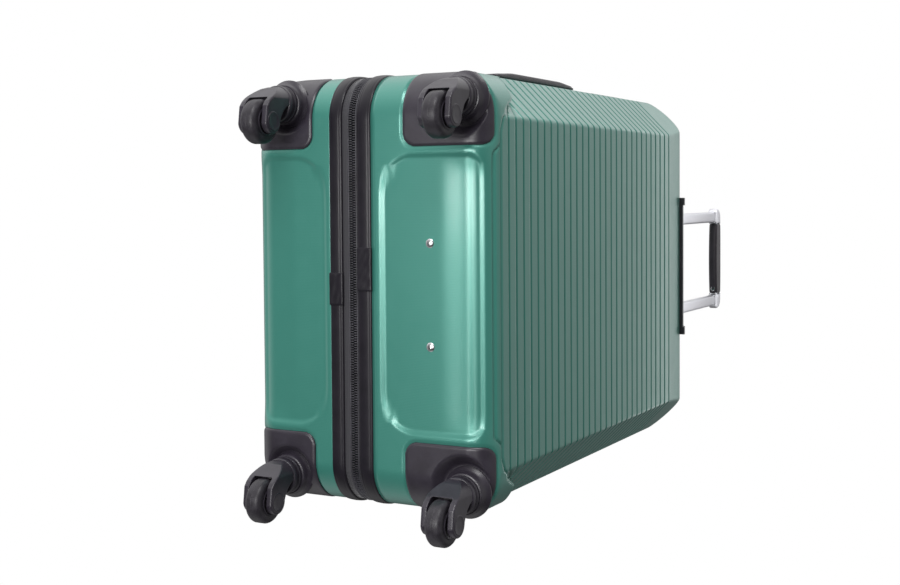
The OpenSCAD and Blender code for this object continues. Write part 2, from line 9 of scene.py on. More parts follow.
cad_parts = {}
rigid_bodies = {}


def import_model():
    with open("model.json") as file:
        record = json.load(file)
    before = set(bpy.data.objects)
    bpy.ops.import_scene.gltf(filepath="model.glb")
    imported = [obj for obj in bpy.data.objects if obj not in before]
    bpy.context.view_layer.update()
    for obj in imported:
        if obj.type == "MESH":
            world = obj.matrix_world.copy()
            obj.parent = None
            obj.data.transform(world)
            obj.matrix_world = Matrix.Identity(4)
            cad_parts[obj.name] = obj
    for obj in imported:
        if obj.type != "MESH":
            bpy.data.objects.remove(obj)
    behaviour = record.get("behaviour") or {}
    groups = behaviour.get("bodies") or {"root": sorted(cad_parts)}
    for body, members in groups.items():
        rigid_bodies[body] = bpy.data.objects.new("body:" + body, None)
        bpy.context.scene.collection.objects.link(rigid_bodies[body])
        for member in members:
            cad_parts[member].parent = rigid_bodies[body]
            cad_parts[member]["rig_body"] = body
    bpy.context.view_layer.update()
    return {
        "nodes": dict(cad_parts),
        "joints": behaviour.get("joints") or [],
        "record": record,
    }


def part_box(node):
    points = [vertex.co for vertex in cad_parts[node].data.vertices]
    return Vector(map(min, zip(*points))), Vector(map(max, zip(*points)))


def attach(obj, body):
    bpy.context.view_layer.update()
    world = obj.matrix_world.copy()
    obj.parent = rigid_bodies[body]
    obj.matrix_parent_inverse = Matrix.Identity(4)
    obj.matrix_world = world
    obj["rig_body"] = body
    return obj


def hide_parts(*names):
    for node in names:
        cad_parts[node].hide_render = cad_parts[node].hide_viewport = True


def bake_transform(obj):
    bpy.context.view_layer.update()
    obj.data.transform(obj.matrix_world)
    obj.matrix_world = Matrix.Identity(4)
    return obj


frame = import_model()

# Lengths below are in millimetres, in the row frame; mesh_piece turns them into metres.
MM = 0.001
SLOTS = {s["node"]: s["material_slot"] for s in frame["record"]["subparts"]}
BODY_OF = {n: b for b, nodes in frame["record"]["behaviour"]["bodies"].items() for n in nodes}
JOINTS = {j["name"]: j for j in frame["joints"]}


def cad(node):
    """The corners of a CAD node, in millimetres."""
    low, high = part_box(node)
    return np.array(low) / MM, np.array(high) / MM


BACK_LOW, BACK_HIGH = cad("back_shell")
LID_HIGH = cad("front_shell")[1]
HALF_W = BACK_HIGH[0]
HALF_D = BACK_HIGH[1]
BOTTOM = BACK_LOW[2]
TOP = BACK_HIGH[2]
CORNER_R = 45.0
EDGE_R = 28.0
BAND_Z = BOTTOM + 522.5
TOP_LEAN = 6.0
FACET_X = HALF_W - 46.0
FACET_N = np.array([45.0, 46.0]) / math.hypot(45.0, 46.0)
FACET_REACH = FACET_N[0] * FACET_X + FACET_N[1] * HALF_D
RIB_PITCH = 17.15
RIB_FIRST = 8.0
RIB_COUNT = 30
SHELL_THICK = 3.0


# ---------- materials ----------

class Nodes:
    """A material's node tree, built a line at a time."""

    def __init__(self, name):
        self.material = bpy.data.materials.new(name)
        self.material.use_nodes = True
        self.tree = self.material.node_tree
        self.shader = self.tree.nodes["Principled BSDF"]
        coordinates = self.tree.nodes.new("ShaderNodeTexCoord")
        self.place = coordinates.outputs["Object"]

    def add(self, kind, inputs=None, **settings):
        node = self.tree.nodes.new(kind)
        for key, value in settings.items():
            setattr(node, key, value)
        for key, value in (inputs or {}).items():
            if isinstance(value, bpy.types.NodeSocket):
                self.tree.links.new(value, node.inputs[key])
            else:
                node.inputs[key].default_value = value
        return node

    def link(self, socket, name):
        self.tree.links.new(socket, self.shader.inputs[name])

    def set(self, **values):
        for name, value in values.items():
            self.shader.inputs[name.replace("_", " ")].default_value = value

    def noise(self, scale, detail=2.0, rough=0.5, place=None):
        node = self.add("ShaderNodeTexNoise", {"Vector": place or self.place, "Scale": scale,
                                               "Detail": detail, "Roughness": rough})
        return node.outputs["Fac"]

    def remap(self, value, low, high, from_low=0.0, from_high=1.0):
        node = self.add("ShaderNodeMapRange", {"Value": value, "From Min": from_low, "From Max": from_high,
                                               "To Min": low, "To Max": high})
        return node.outputs["Result"]

    def mix(self, factor, first, second):
        node = self.add("ShaderNodeMix", data_type="RGBA")
        self.tree.links.new(factor, node.inputs[0])
        for socket, colour in ((node.inputs[6], first), (node.inputs[7], second)):
            if isinstance(colour, bpy.types.NodeSocket):
                self.tree.links.new(colour, socket)
            else:
                socket.default_value = colour
        return node.outputs[2]

    def math(self, operation, first, second=0.0):
        return self.add("ShaderNodeMath", {0: first, 1: second}, operation=operation).outputs[0]

    def wave(self, direction, pitch_mm, turn=(0.0, 0.0, 0.0), place=None):
        """Bands across X, Y or Z of the turned frame, 0 to 1, with a pitch in millimetres."""
        turned = self.add("ShaderNodeMapping", {"Vector": place or self.place, "Rotation": turn})
        node = self.add("ShaderNodeTexWave", {"Vector": turned.outputs[0], "Distortion": 0.0,
                                              "Scale": 2 * math.pi / (20 * pitch_mm * MM)},
                        bands_direction=direction)
        return node.outputs["Fac"]

    def bump(self, height, depth_mm, strength=1.0, normal=None):
        node = self.add("ShaderNodeBump", {"Height": height, "Strength": strength, "Distance": depth_mm * MM})
        if normal is not None:
            self.tree.links.new(normal, node.inputs["Normal"])
        return node.outputs[0]


def colour(r, g, b):
    """A screen colour, 0 to 255, as the shader's linear colour."""
    screen = (r / 255, g / 255, b / 255)
    linear = [c / 12.92 if c <= 0.04045 else ((c + 0.055) / 1.055) ** 2.4 for c in screen]
    return (*linear, 1.0)


def green_material():
    m = Nodes("satin_green")
    drift = m.noise(3.0, 3.0)
    m.link(m.mix(drift, colour(56, 123, 111), colour(64, 133, 120)), "Base Color")
    diagonals = [m.wave("X", 1.1, (0.0, turn, 0.0)) for turn in (math.pi / 4, -math.pi / 4)]
    diagonals += [m.wave("X", 1.1, (0.0, 0.0, turn)) for turn in (math.pi / 4, -math.pi / 4)]
    pairs = [m.math("ADD", diagonals[i], diagonals[i + 1]) for i in (0, 2)]
    grain = m.math("ADD", *pairs)
    fine = m.noise(900.0, 2.0)
    m.link(m.bump(fine, 0.02, 0.5, m.bump(grain, 0.03, 0.5)), "Normal")
    m.link(m.remap(m.noise(60.0, 4.0), 0.28, 0.36), "Roughness")
    m.set(Metallic=0.3, Coat_Weight=0.4, Coat_Roughness=0.18, Specular_IOR_Level=0.5)
    return m.material


def plastic_material(name, dark, light, rough, shine=0.5, grain_mm=0.02, grain_scale=1400.0):
    """Moulded plastic with a fine spark-eroded grain, a little lighter and duller where it is handled."""
    m = Nodes(name)
    worn = m.remap(m.noise(45.0, 5.0, 0.6), 0.0, 1.0, 0.35, 0.7)
    m.link(m.mix(worn, dark, light), "Base Color")
    m.link(m.remap(m.noise(160.0, 4.0, 0.6), rough - 0.07, rough + 0.07), "Roughness")
    m.link(m.bump(m.noise(grain_scale, 3.0, 0.6), grain_mm, 0.6), "Normal")
    m.set(Specular_IOR_Level=shine)
    return m.material


def metal_material(name, tint, rough, brushed=0.0):
    m = Nodes(name)
    m.link(m.mix(m.noise(25.0, 4.0), tint, tuple(0.9 * c for c in tint[:3]) + (1.0,)), "Base Color")
    stretched = m.add("ShaderNodeMapping", {"Vector": m.place, "Scale": (900.0, 900.0, 12.0)})
    lines = m.noise(1.0, 2.0, 0.5, stretched.outputs[0])
    m.link(m.remap(lines, rough - 0.05, rough + 0.08), "Roughness")
    m.link(m.bump(lines, 0.01 + brushed, 0.4), "Normal")
    m.set(Metallic=1.0)
    return m.material


def woven_material(name, dark, light, pitch_mm, across="X", along="Z"):
    """A plain weave: threads over and under each other, with a slight fuzz, and painted shade that darkens
    the colour where the threads dip.
    """
    m = Nodes(name)
    warp = m.wave(across, pitch_mm)
    weft = m.wave(along, pitch_mm)
    other = m.wave("Y", pitch_mm)
    cloth = m.math("MAXIMUM", m.math("MULTIPLY", warp, weft), m.math("MULTIPLY", other, 0.5))
    fuzz = m.noise(2500.0, 2.0)
    # The colour follows the weave's height: painted shade in the dips between the threads, plus a random fuzz
    # tone.
    shade = m.math("ADD", m.math("MULTIPLY", cloth, 0.7), m.math("MULTIPLY", fuzz, 0.3))
    m.link(m.mix(shade, dark, light), "Base Color")
    m.link(m.bump(fuzz, 0.05, 0.5, m.bump(cloth, 0.25, 0.8)), "Normal")
    m.link(m.remap(fuzz, 0.75, 0.95), "Roughness")
    m.set(Sheen_Weight=0.3, Sheen_Roughness=0.5)
    return m.material


def rubber_material(name, dark, light, rough):
    m = Nodes(name)
    scuffs = m.remap(m.noise(120.0, 6.0, 0.7), 0.0, 1.0, 0.45, 0.75)
    m.link(m.mix(scuffs, dark, light), "Base Color")
    m.link(m.remap(scuffs, rough, rough + 0.2), "Roughness")
    m.link(m.bump(m.noise(1800.0, 3.0), 0.03, 0.6, m.bump(scuffs, 0.05, 0.3)), "Normal")
    m.set(Specular_IOR_Level=0.4)
    return m.material


MATERIALS = {
    "shell": green_material(),
    "trim": plastic_material("trim_plastic", colour(22, 20, 26), colour(30, 27, 34), 0.33, 0.28),
    "zip_tape": woven_material("zip_tape_weave", colour(28, 27, 32), colour(58, 57, 63), 1.0),
    "zip_teeth": plastic_material("coil_nylon", colour(38, 37, 43), colour(58, 57, 64), 0.45),
    "lining": woven_material("lining_cloth", colour(60, 60, 66), colour(104, 104, 112), 0.9),
    "strap": woven_material("strap_webbing", colour(22, 22, 25), colour(52, 52, 57), 1.6),
    "tube": metal_material("anodised_tube", colour(232, 232, 238), 0.34),
    "black_plastic": plastic_material("black_plastic", colour(29, 26, 32), colour(38, 35, 42), 0.33),
    "caster_plastic": plastic_material("caster_plastic", colour(37, 33, 41), colour(48, 44, 53), 0.34),
    "tyre": rubber_material("tyre_rubber", colour(34, 31, 37), colour(52, 49, 56), 0.42),
    "rubber": rubber_material("foot_rubber", colour(28, 27, 30), colour(50, 48, 52), 0.55),
    "grip": plastic_material("grip_plastic", colour(40, 36, 42), colour(58, 53, 61), 0.45),
    "dial": plastic_material("dial_plastic", colour(180, 180, 184), colour(205, 205, 208), 0.35),
    "steel": metal_material("bright_steel", colour(205, 205, 208), 0.22),
    "zip_metal": metal_material("dark_zip_metal", colour(70, 70, 76), 0.3),
}


# ---------- mesh helpers ----------

def mesh_piece(name, points, faces, node, smooth_angle=40.0, closed=True, stands_for=True):
    """A mesh from points in millimetres that takes its body and its slot's finish from a CAD node."""
    mesh = bpy.data.meshes.new(name)
    mesh.from_pydata((np.asarray(points, float) * MM).tolist(), [], [list(map(int, f)) for f in faces])
    work = bmesh.new()
    work.from_mesh(mesh)
    bmesh.ops.remove_doubles(work, verts=work.verts, dist=1e-6)
    if closed:
        bmesh.ops.recalc_face_normals(work, faces=work.faces)
    work.to_mesh(mesh)
    work.free()
    mesh.shade_smooth()
    mesh.set_sharp_from_angle(angle=math.radians(smooth_angle))
    piece = bpy.data.objects.new(name, mesh)
    bpy.context.scene.collection.objects.link(piece)
    mesh.materials.append(MATERIALS[SLOTS[node]])
    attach(piece, BODY_OF[node])
    if stands_for:
        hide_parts(node)
    return piece


def apply_modifiers(piece):
    """Leaves the piece with the mesh that its modifiers make."""
    graph = bpy.context.evaluated_depsgraph_get()
    finished = bpy.data.meshes.new_from_object(piece.evaluated_get(graph))
    piece.modifiers.clear()
    piece.data = finished


def carve(piece, other, operation):
    cut = piece.modifiers.new("cut", "BOOLEAN")
    cut.operation = operation
    cut.solver = "EXACT"
    cut.object = other
    apply_modifiers(piece)
    bpy.data.objects.remove(other)


def loose_object(shape):
    """A plain object from (points, faces) in millimetres, to carve with."""
    mesh = bpy.data.meshes.new("tool")
    mesh.from_pydata((np.asarray(shape[0]) * MM).tolist(), [], [list(map(int, f)) for f in shape[1]])
    work = bmesh.new()
    work.from_mesh(mesh)
    bmesh.ops.recalc_face_normals(work, faces=work.faces)
    work.to_mesh(mesh)
    work.free()
    tool = bpy.data.objects.new("tool", mesh)
    bpy.context.scene.collection.objects.link(tool)
    return tool


def shape_of(tool):
    """A carved object's points in millimetres and faces; the object goes."""
    points = np.array([v.co for v in tool.data.vertices]) / MM
    faces = [list(p.vertices) for p in tool.data.polygons]
    bpy.data.objects.remove(tool)
    return points, faces


def joined(parts):
    """Several (points, faces) as one."""
    points = []
    faces = []
    for part_points, part_faces in parts:
        start = sum(len(p) for p in points)
        points.append(np.asarray(part_points, float).reshape(-1, 3))
        faces += [[start + i for i in f] for f in part_faces]
    return np.vstack(points), faces


def grid_faces(rows, columns, close_rows=False, close_columns=False):
    faces = []
    for i in range(rows if close_rows else rows - 1):
        for j in range(columns if close_columns else columns - 1):
            a, b = i * columns + j, i * columns + (j + 1) % columns
            c, d = ((i + 1) % rows) * columns + (j + 1) % columns, ((i + 1) % rows) * columns + j
            faces.append([a, b, c, d])
    return faces


def arc(x, y, r, start, end, steps=6):
    angles = np.radians(np.linspace(start, end, steps + 1))
    return [(x + r * math.cos(a), y + r * math.sin(a)) for a in angles]


def rounded_rectangle(half_x, half_y, r, steps=5):
    points = []
    for sx, sy, start in ((1, 1, 0), (-1, 1, 90), (-1, -1, 180), (1, -1, 270)):
        points += arc(sx * (half_x - r), sy * (half_y - r), r, start, start + 90, steps)
    return points


def lathe(profile, centre, axis, steps=64):
    """Turns (radius, height) points about an axis through centre. Points at radius 0 close it."""
    other = [i for i in range(3) if i != axis]
    angles = np.linspace(0, 2 * math.pi, steps, endpoint=False)
    points = np.zeros((len(profile), steps, 3))
    for i, (radius, height) in enumerate(profile):
        points[i, :, axis] = centre[axis] + height
        points[i, :, other[0]] = centre[other[0]] + max(radius, 0.001) * np.cos(angles)
        points[i, :, other[1]] = centre[other[1]] + max(radius, 0.001) * np.sin(angles)
    faces = grid_faces(len(profile), steps, close_columns=True)
    faces.append(list(range(steps)))
    faces.append(list(range((len(profile) - 1) * steps, len(profile) * steps)))
    return points.reshape(-1, 3), faces


def loft(sections):
    """Closed sections of equal length, skinned in order and capped."""
    sections = np.asarray(sections, float)
    count, size = sections.shape[:2]
    faces = grid_faces(count, size, close_columns=True)
    faces.append(list(range(size)))
    faces.append(list(range((count - 1) * size, count * size)))
    return sections.reshape(-1, 3), faces


def slab(outline, low, high, bevel, axis=2, steps=3):
    """An outline of (u, v) points, extruded along an axis, with its edges rounded by bevel."""
    outline = np.asarray(outline, float)
    normals = outline_normals(outline)
    levels = []
    for t in np.linspace(0, math.pi / 2, steps + 1):
        levels.append((bevel * (1 - math.sin(t)), low + bevel * (1 - math.cos(t))))
    levels += [(inset, high - (level - low)) for inset, level in reversed(levels)]
    sections = []
    for inset, level in levels:
        ring = outline - normals * inset
        layer = np.zeros((len(outline), 3))
        layer[:, axis] = level
        layer[:, [i for i in range(3) if i != axis]] = ring
        sections.append(layer)
    return loft(sections)


def outline_normals(outline):
    ahead = np.roll(outline, -1, 0) - outline
    behind = outline - np.roll(outline, 1, 0)
    ahead /= np.maximum(np.linalg.norm(ahead, axis=1, keepdims=True), 1e-9)
    behind /= np.maximum(np.linalg.norm(behind, axis=1, keepdims=True), 1e-9)
    along = ahead + behind
    along /= np.maximum(np.linalg.norm(along, axis=1, keepdims=True), 1e-9)
    normals = np.stack([along[:, 1], -along[:, 0]], 1)
    after = np.roll(outline, -1, 0)
    area = 0.5 * np.sum(outline[:, 0] * after[:, 1] - after[:, 0] * outline[:, 1])
    return normals if area > 0 else -normals


def rounded_box(low, high, r, bevel, axis=2):
    """A box with corners of radius r across the axis, and its two end faces' edges rounded by bevel."""
    low, high = np.asarray(low, float), np.asarray(high, float)
    across = [i for i in range(3) if i != axis]
    half = (high - low)[across] / 2
    middle = (high + low)[across] / 2
    outline = np.array(rounded_rectangle(half[0], half[1], r)) + middle
    return slab(outline, low[axis], high[axis], bevel, axis)


def front_path(straight_step=12.0, corner_steps=24):
    """Points round the case seen from the front, with outward directions: rows of x, z, nx, nz."""
    rows = []
    x, low, high = HALF_W - CORNER_R, BOTTOM + CORNER_R, TOP - CORNER_R
    for cx, cz, start in ((x, low, -90), (x, high, 0), (-x, high, 90), (-x, low, 180)):
        for a in np.radians(np.linspace(start, start + 90, corner_steps + 1)):
            rows.append((cx + CORNER_R * math.cos(a), cz + CORNER_R * math.sin(a), math.cos(a), math.sin(a)))
    filled = []
    for i, row in enumerate(rows):
        after = rows[(i + 1) % len(rows)]
        filled.append(row)
        gap = math.hypot(after[0] - row[0], after[1] - row[1])
        if row[2:] == after[2:] or gap > 20:
            count = max(1, round(gap / straight_step))
            for k in range(1, count):
                t = k / count
                x_here, z_here = (row[i] + (after[i] - row[i]) * t for i in (0, 1))
                filled.append((x_here, z_here, row[2], row[3]))
    return np.array(filled)


def ring_sweep(profile, path, closed=True):
    """Sweeps (y, outward) points round the case. The profile is a closed loop."""
    profile = np.asarray(profile, float)
    points = np.zeros((len(path), len(profile), 3))
    points[:, :, 0] = path[:, 0:1] + path[:, 2:3] * profile[None, :, 1]
    points[:, :, 1] = profile[None, :, 0]
    points[:, :, 2] = path[:, 1:2] + path[:, 3:4] * profile[None, :, 1]
    faces = grid_faces(len(path), len(profile), close_rows=closed, close_columns=True)
    if not closed:
        faces.append(list(range(len(profile))))
        faces.append(list(range((len(path) - 1) * len(profile), len(path) * len(profile))))
    return points.reshape(-1, 3), faces


# ---------- the shells' surface ----------

def smooth_and(a, b, r):
    """Where two distances meet in an outer edge of radius r."""
    return np.minimum(-r, np.maximum(a, b)) + np.hypot(np.maximum(a + r, 0), np.maximum(b + r, 0))


def smooth_or(a, b, r):
    return -smooth_and(-a, -b, r)


def smooth_step(t):
    t = np.clip(t, 0, 1)
    return t * t * (3 - 2 * t)


GROOVE_DEEP = 1.6
GROOVE_FLAT = 0.7
GROOVE_SLOPE = 1.3
CREASE_R = 1.6
CORNER_LINE_X = (172.0, 182.0, 193.0, 204.0, 215.0, 221.0)
CORNER_LINE_Z = (36.0, 46.0, 75.0, 81.0, 89.0, 118.0)


def groove_depth(x, z):
    """How deep the ribs' grooves are at a place on the ribbed face."""
    ax = np.abs(x)
    on_facet = np.clip((ax - FACET_X) / 18.0, 0, 1)
    height = z - BOTTOM
    index = np.round((height - RIB_FIRST) / RIB_PITCH)
    depth = np.zeros_like(x)
    for step in (-1, 0, 1):
        k = np.clip(index + step, 1, RIB_COUNT)
        line = RIB_FIRST + k * RIB_PITCH
        low_rib = k < 5
        line = np.where(low_rib & (k > 1), line + (78.0 - line) * on_facet, line)
        turn = 5.0 * np.clip((ax - 160) / 12, 0, 1) + 16.0 * np.clip((ax - 172) / 10, 0, 1)
        line = np.where(k == 1, line + turn, line)
        ends = np.where(low_rib & (ax > 192), 0.0, 1.0)
        depth = np.maximum(depth, ends * groove_profile(height - line))
    first = 15.5 + 10.0 * smooth_step((ax - 137) / 12)
    depth = np.maximum(depth, groove_profile(height - first) * (ax < 150))
    return depth


def groove_profile(offset):
    """A channel with sloped sides, its dark wall on the upper side."""
    return GROOVE_DEEP * (1 - smooth_step((np.abs(offset) - GROOVE_FLAT) / GROOVE_SLOPE))


def body_distance(x, y, z, grooved=True):
    """About how far a point lies outside one half, y being the depth towards its face."""
    ax = np.abs(x)
    qx = ax - (HALF_W - CORNER_R)
    qz = np.abs(z - (BOTTOM + TOP) / 2) - ((TOP - BOTTOM) / 2 - CORNER_R)
    front = np.hypot(np.maximum(qx, 0), np.maximum(qz, 0)) + np.minimum(np.maximum(qx, qz), 0) - CORNER_R
    groove = groove_depth(x, z) if grooved else 0.0
    lean = TOP_LEAN * np.clip((z - BAND_Z) / 61.4, 0, 1.4)
    base = smooth_and(front, y - HALF_D + lean + groove, EDGE_R)
    facet = FACET_N[0] * ax + FACET_N[1] * y - FACET_REACH
    full = np.hypot(np.maximum(ax - 175, 0), np.maximum(y - 95, 0)) - 45.0
    low = z - BOTTOM - np.interp(ax, CORNER_LINE_X, CORNER_LINE_Z) + 1.2 * np.maximum(facet, 0)
    corner = smooth_or(facet + groove, smooth_and(full, low * 0.7, 4.0), 2.5)
    return smooth_and(base, corner, CREASE_R)


def hit_surface(inner, direction, grooved=True, reach=2.2):
    """Where rays from inside meet the surface, by halving."""
    near = np.zeros(len(inner))
    far = np.full(len(inner), reach)
    for _ in range(30):
        middle = (near + far) / 2
        p = inner + direction * middle[:, None]
        outside = body_distance(p[:, 0], p[:, 1], p[:, 2], grooved) > 0
        far = np.where(outside, middle, far)
        near = np.where(outside, near, middle)
    return inner + direction * ((near + far) / 2)[:, None]


def surface_normals(p, grooved=False, step=0.05):
    gradient = np.zeros_like(p)
    for axis in range(3):
        shift = np.zeros(3)
        shift[axis] = step
        ahead, behind = p + shift, p - shift
        gradient[:, axis] = (body_distance(*ahead.T, grooved) - body_distance(*behind.T, grooved))
    return gradient / np.maximum(np.linalg.norm(gradient, axis=1, keepdims=True), 1e-9)


INNER_LOW = np.array([-(HALF_W - 60), -1e9, BOTTOM + EDGE_R])
INNER_HIGH = np.array([HALF_W - 60, HALF_D - 60, TOP - EDGE_R])


def onto_surface(box_points, grooved=True):
    """Box points drawn onto the surface, square to it on the flats and fanned round the corners."""
    inner = np.clip(box_points, INNER_LOW, INNER_HIGH)
    return hit_surface(inner, box_points - inner, grooved)


def lines(*spans):
    """Grid lines from (start, end, step) spans."""
    values = []
    for start, end, step in spans:
        count = max(1, round((end - start) / step))
        values += list(start + (end - start) * np.arange(count) / count)
    values.append(spans[-1][1])
    return np.array(sorted(set(np.round(values, 4))))


def rounded_area(x, y, half_x, low_y, high_y, r_low, r_high):
    """Distance to a rectangle in plan with two corner radii, negative inside."""
    middle = (low_y + high_y) / 2
    r = np.where(y < middle, r_low, r_high)
    qx = np.abs(x) - half_x + r
    qy = np.abs(y - middle) - (high_y - low_y) / 2 + r
    return np.hypot(np.maximum(qx, 0), np.maximum(qy, 0)) + np.minimum(np.maximum(qx, qy), 0) - r


HOUSING_X = 146.0
HOUSING_R = 14.0
HOUSING_END_R = 13.0
HOUSING_TOP = BOTTOM + 50.0


def housing_area(p, inner_y):
    """Distance outside a caster housing's outline on the shell, negative under it."""
    plan = smooth_and(HOUSING_X - np.abs(p[:, 0]), inner_y - p[:, 1], HOUSING_R)
    limit = HOUSING_TOP - 33.0 * smooth_step((p[:, 1] - 92) / 40)
    return smooth_and(plan, p[:, 2] - limit, HOUSING_END_R)


def shell_points(box_points, panel_y, housing_y):
    """The shell's outer surface with its sunk panel and the lips that roll in under the housings."""
    p = onto_surface(box_points)
    normals = surface_normals(p)
    panel = rounded_area(p[:, 0], p[:, 1], 137.0, panel_y, 129.5, 36.0, 14.0)
    sunk = 1.8 * smooth_step(0.5 - panel / 6.0) * (p[:, 2] < BOTTOM + EDGE_R)
    lip = housing_area(p, housing_y)
    rolled = 1.3 * (1 - smooth_step((lip + 0.3) / 3.2))
    crown = 1.5 * smooth_step((p[:, 1] - 84) / 32) * (1 - smooth_step((p[:, 2] - BOTTOM - 5) / 14))
    crown *= 1 - smooth_step((np.abs(p[:, 0]) - 118) / 22)
    return p - normals * (sunk + rolled + crown)[:, None]


def shell_grid(open_y, panel_y, housing_y):
    """Five grids of box points that share their edge lines, drawn onto one half's surface."""
    xs = lines((0, 128, 8), (128, 146, 1.6), (146, 168, 2.4), (168, 180, 1.5), (180, 220, 2.2))
    xs = np.concatenate([-xs[::-1], xs[1:]])
    ys = lines((open_y, housing_y - 9, 5), (housing_y - 9, housing_y + 8, 1.4), (housing_y + 8, 88, 3),
               (88, 98, 1.6), (98, HALF_D, 2.1))
    ys = np.array(sorted(set(np.round(np.concatenate([ys, lines((panel_y - 6, panel_y + 40, 1.6))]), 3))))
    ys = ys[(ys >= open_y)]
    zs = list(lines((BOTTOM, BOTTOM + 30, 1.0)))
    for k in range(1, RIB_COUNT + 1):
        line = BOTTOM + RIB_FIRST + k * RIB_PITCH
        zs += [line + offset for offset in (-2.6, -2.1, -1.6, -1.1, -0.5, 0.5, 1.1, 1.6, 2.1, 2.6)]
        zs += [line + 6.0, line + 9.0, line + 12.0]
    zs += list(lines((BAND_Z + 6, TOP - EDGE_R, 4), (TOP - EDGE_R, TOP, 1.6)))
    zs += list(lines((BOTTOM + 30, BOTTOM + 122, 1.8)))
    zs = np.array(sorted(set(np.round(zs, 2))))
    zs = zs[np.concatenate([[True], np.diff(zs) > 0.45])]
    zs[-1] = TOP
    patches = []
    patches.append([[(x, HALF_D, z) for x in xs] for z in zs])
    for side in (-HALF_W, HALF_W):
        patches.append([[(side, y, z) for y in ys] for z in zs])
    for end in (BOTTOM, TOP):
        patches.append([[(x, y, end) for x in xs] for y in ys])
    parts = []
    for patch in patches:
        patch = np.array(patch)
        rows, columns = patch.shape[:2]
        points = shell_points(patch.reshape(-1, 3), panel_y, housing_y)
        parts.append((points, grid_faces(rows, columns)))
    return joined(parts)


def keep_faces(points, faces, keep):
    """Only the faces whose points are all to be kept, with the loose points dropped."""
    kept = [f for f in faces if all(keep[i] for i in f)]
    used = sorted({i for f in kept for i in f})
    place = {old: new for new, old in enumerate(used)}
    return np.asarray(points)[used], [[place[i] for i in f] for f in kept]


def mirror_y(points, faces):
    """The lid's half is worked out as a back half and turned over in y."""
    return np.asarray(points) * np.array([1, -1, 1]), [f[::-1] for f in faces]


def outward(piece, centre_mm):
    """Turns the faces so that they look away from a point."""
    work = bmesh.new()
    work.from_mesh(piece.data)
    bmesh.ops.recalc_face_normals(work, faces=work.faces)
    centre = Vector(centre_mm) * MM
    away = sum(1 for f in work.faces if f.normal.dot(f.calc_center_median() - centre) > 0)
    if 2 * away < len(work.faces):
        bmesh.ops.reverse_faces(work, faces=work.faces)
    work.to_mesh(piece.data)
    work.free()


def thicken(piece, thick):
    solid = piece.modifiers.new("thick", "SOLIDIFY")
    solid.thickness = thick * MM
    solid.offset = -1
    apply_modifiers(piece)


def make_shell(name, node, open_y, panel_y, housing_y, back):
    points, faces = shell_grid(open_y, panel_y, housing_y)
    points, faces = keep_faces(points, faces, housing_area(points, housing_y) > -5.0)
    centre = (0, (open_y + HALF_D) / 2, (BOTTOM + TOP) / 2)
    if not back:
        points, faces = mirror_y(points, faces)
        centre = (0, -centre[1], centre[2])
    piece = mesh_piece(name, points, faces, node, 50.0, closed=False)
    outward(piece, centre)
    thicken(piece, SHELL_THICK)
    return piece


# The bezel's tub goes down through the top edge of the back shell.
TUB_LOW = (-86.0, 97.0, TOP - 32.0)
TUB_HIGH = (86.0, 130.0, TOP + 20.0)


def cut_back_openings(shell):
    """The holes for the trolley's tub and for what the lock has behind its face."""
    lock_low, lock_high = cad("lock_body")
    push_low, push_high = cad("lock_button")
    x0, x1 = HALF_W - 7, HALF_W + 2
    holes = [(TUB_LOW, TUB_HIGH)]
    holes.append(((x0, lock_low[1] + 5, lock_low[2] + 15), (x1, lock_high[1] - 5, lock_high[2] - 15)))
    holes.append(((x0, push_low[1] - 0.6, push_low[2] - 0.6), (x1, push_high[1] + 0.6, push_high[2] + 0.6)))
    for low, high in holes:
        carve(shell, loose_object(rounded_box(low, high, 1.0, 0.1)), "DIFFERENCE")


# ---------- caster housings ----------

DISH_FLOOR = BOTTOM + 8.0


def housing_points(box_points, inner_y, swivel, dish_r):
    """A housing's skin: the shell's surface a little proud, its rim rolled over, and its dish."""
    p = onto_surface(box_points, grooved=False)
    normals = surface_normals(p)
    area = housing_area(p, inner_y)
    rim = np.clip(1 + area / 3.0, 0, 1)
    rise = 0.8 - 2.4 * (1 - np.sqrt(np.maximum(1 - rim * rim, 0)))
    p = p + normals * rise[:, None]
    spread = np.hypot(p[:, 0] - swivel[0], p[:, 1] - swivel[1])
    floor = DISH_FLOOR + 1.2 - 11.0 * np.clip((spread - dish_r + 10.0) / 10.0, 0, 1.5)
    deeper = 0.5 * (p[:, 2] + floor + np.hypot(p[:, 2] - floor, 1.2))
    fade = smooth_step((dish_r + 7 - spread) / 4) * smooth_step((-area - 1.5) / 3)
    p[:, 2] += (deeper - p[:, 2]) * fade
    return p, area


def housing_skin(inner_y, swivel, dish_r, step=1.3):
    xs = lines((HOUSING_X - 2, HALF_W, step))
    ys = lines((inner_y - 2, HALF_D, step))
    zs = lines((BOTTOM, HOUSING_TOP + 3, step))
    patches = [
        [[(x, y, BOTTOM) for x in xs] for y in ys],
        [[(HALF_W, y, z) for y in ys] for z in zs],
        [[(x, HALF_D, z) for x in xs] for z in zs],
    ]
    parts = []
    areas = []
    for patch in patches:
        patch = np.array(patch)
        rows, columns = patch.shape[:2]
        points, area = housing_points(patch.reshape(-1, 3), inner_y, swivel, dish_r)
        parts.append((points, grid_faces(rows, columns)))
        areas.append(area)
    points, faces = joined(parts)
    area = np.concatenate(areas)
    return trim_to_outline(points, faces, area)


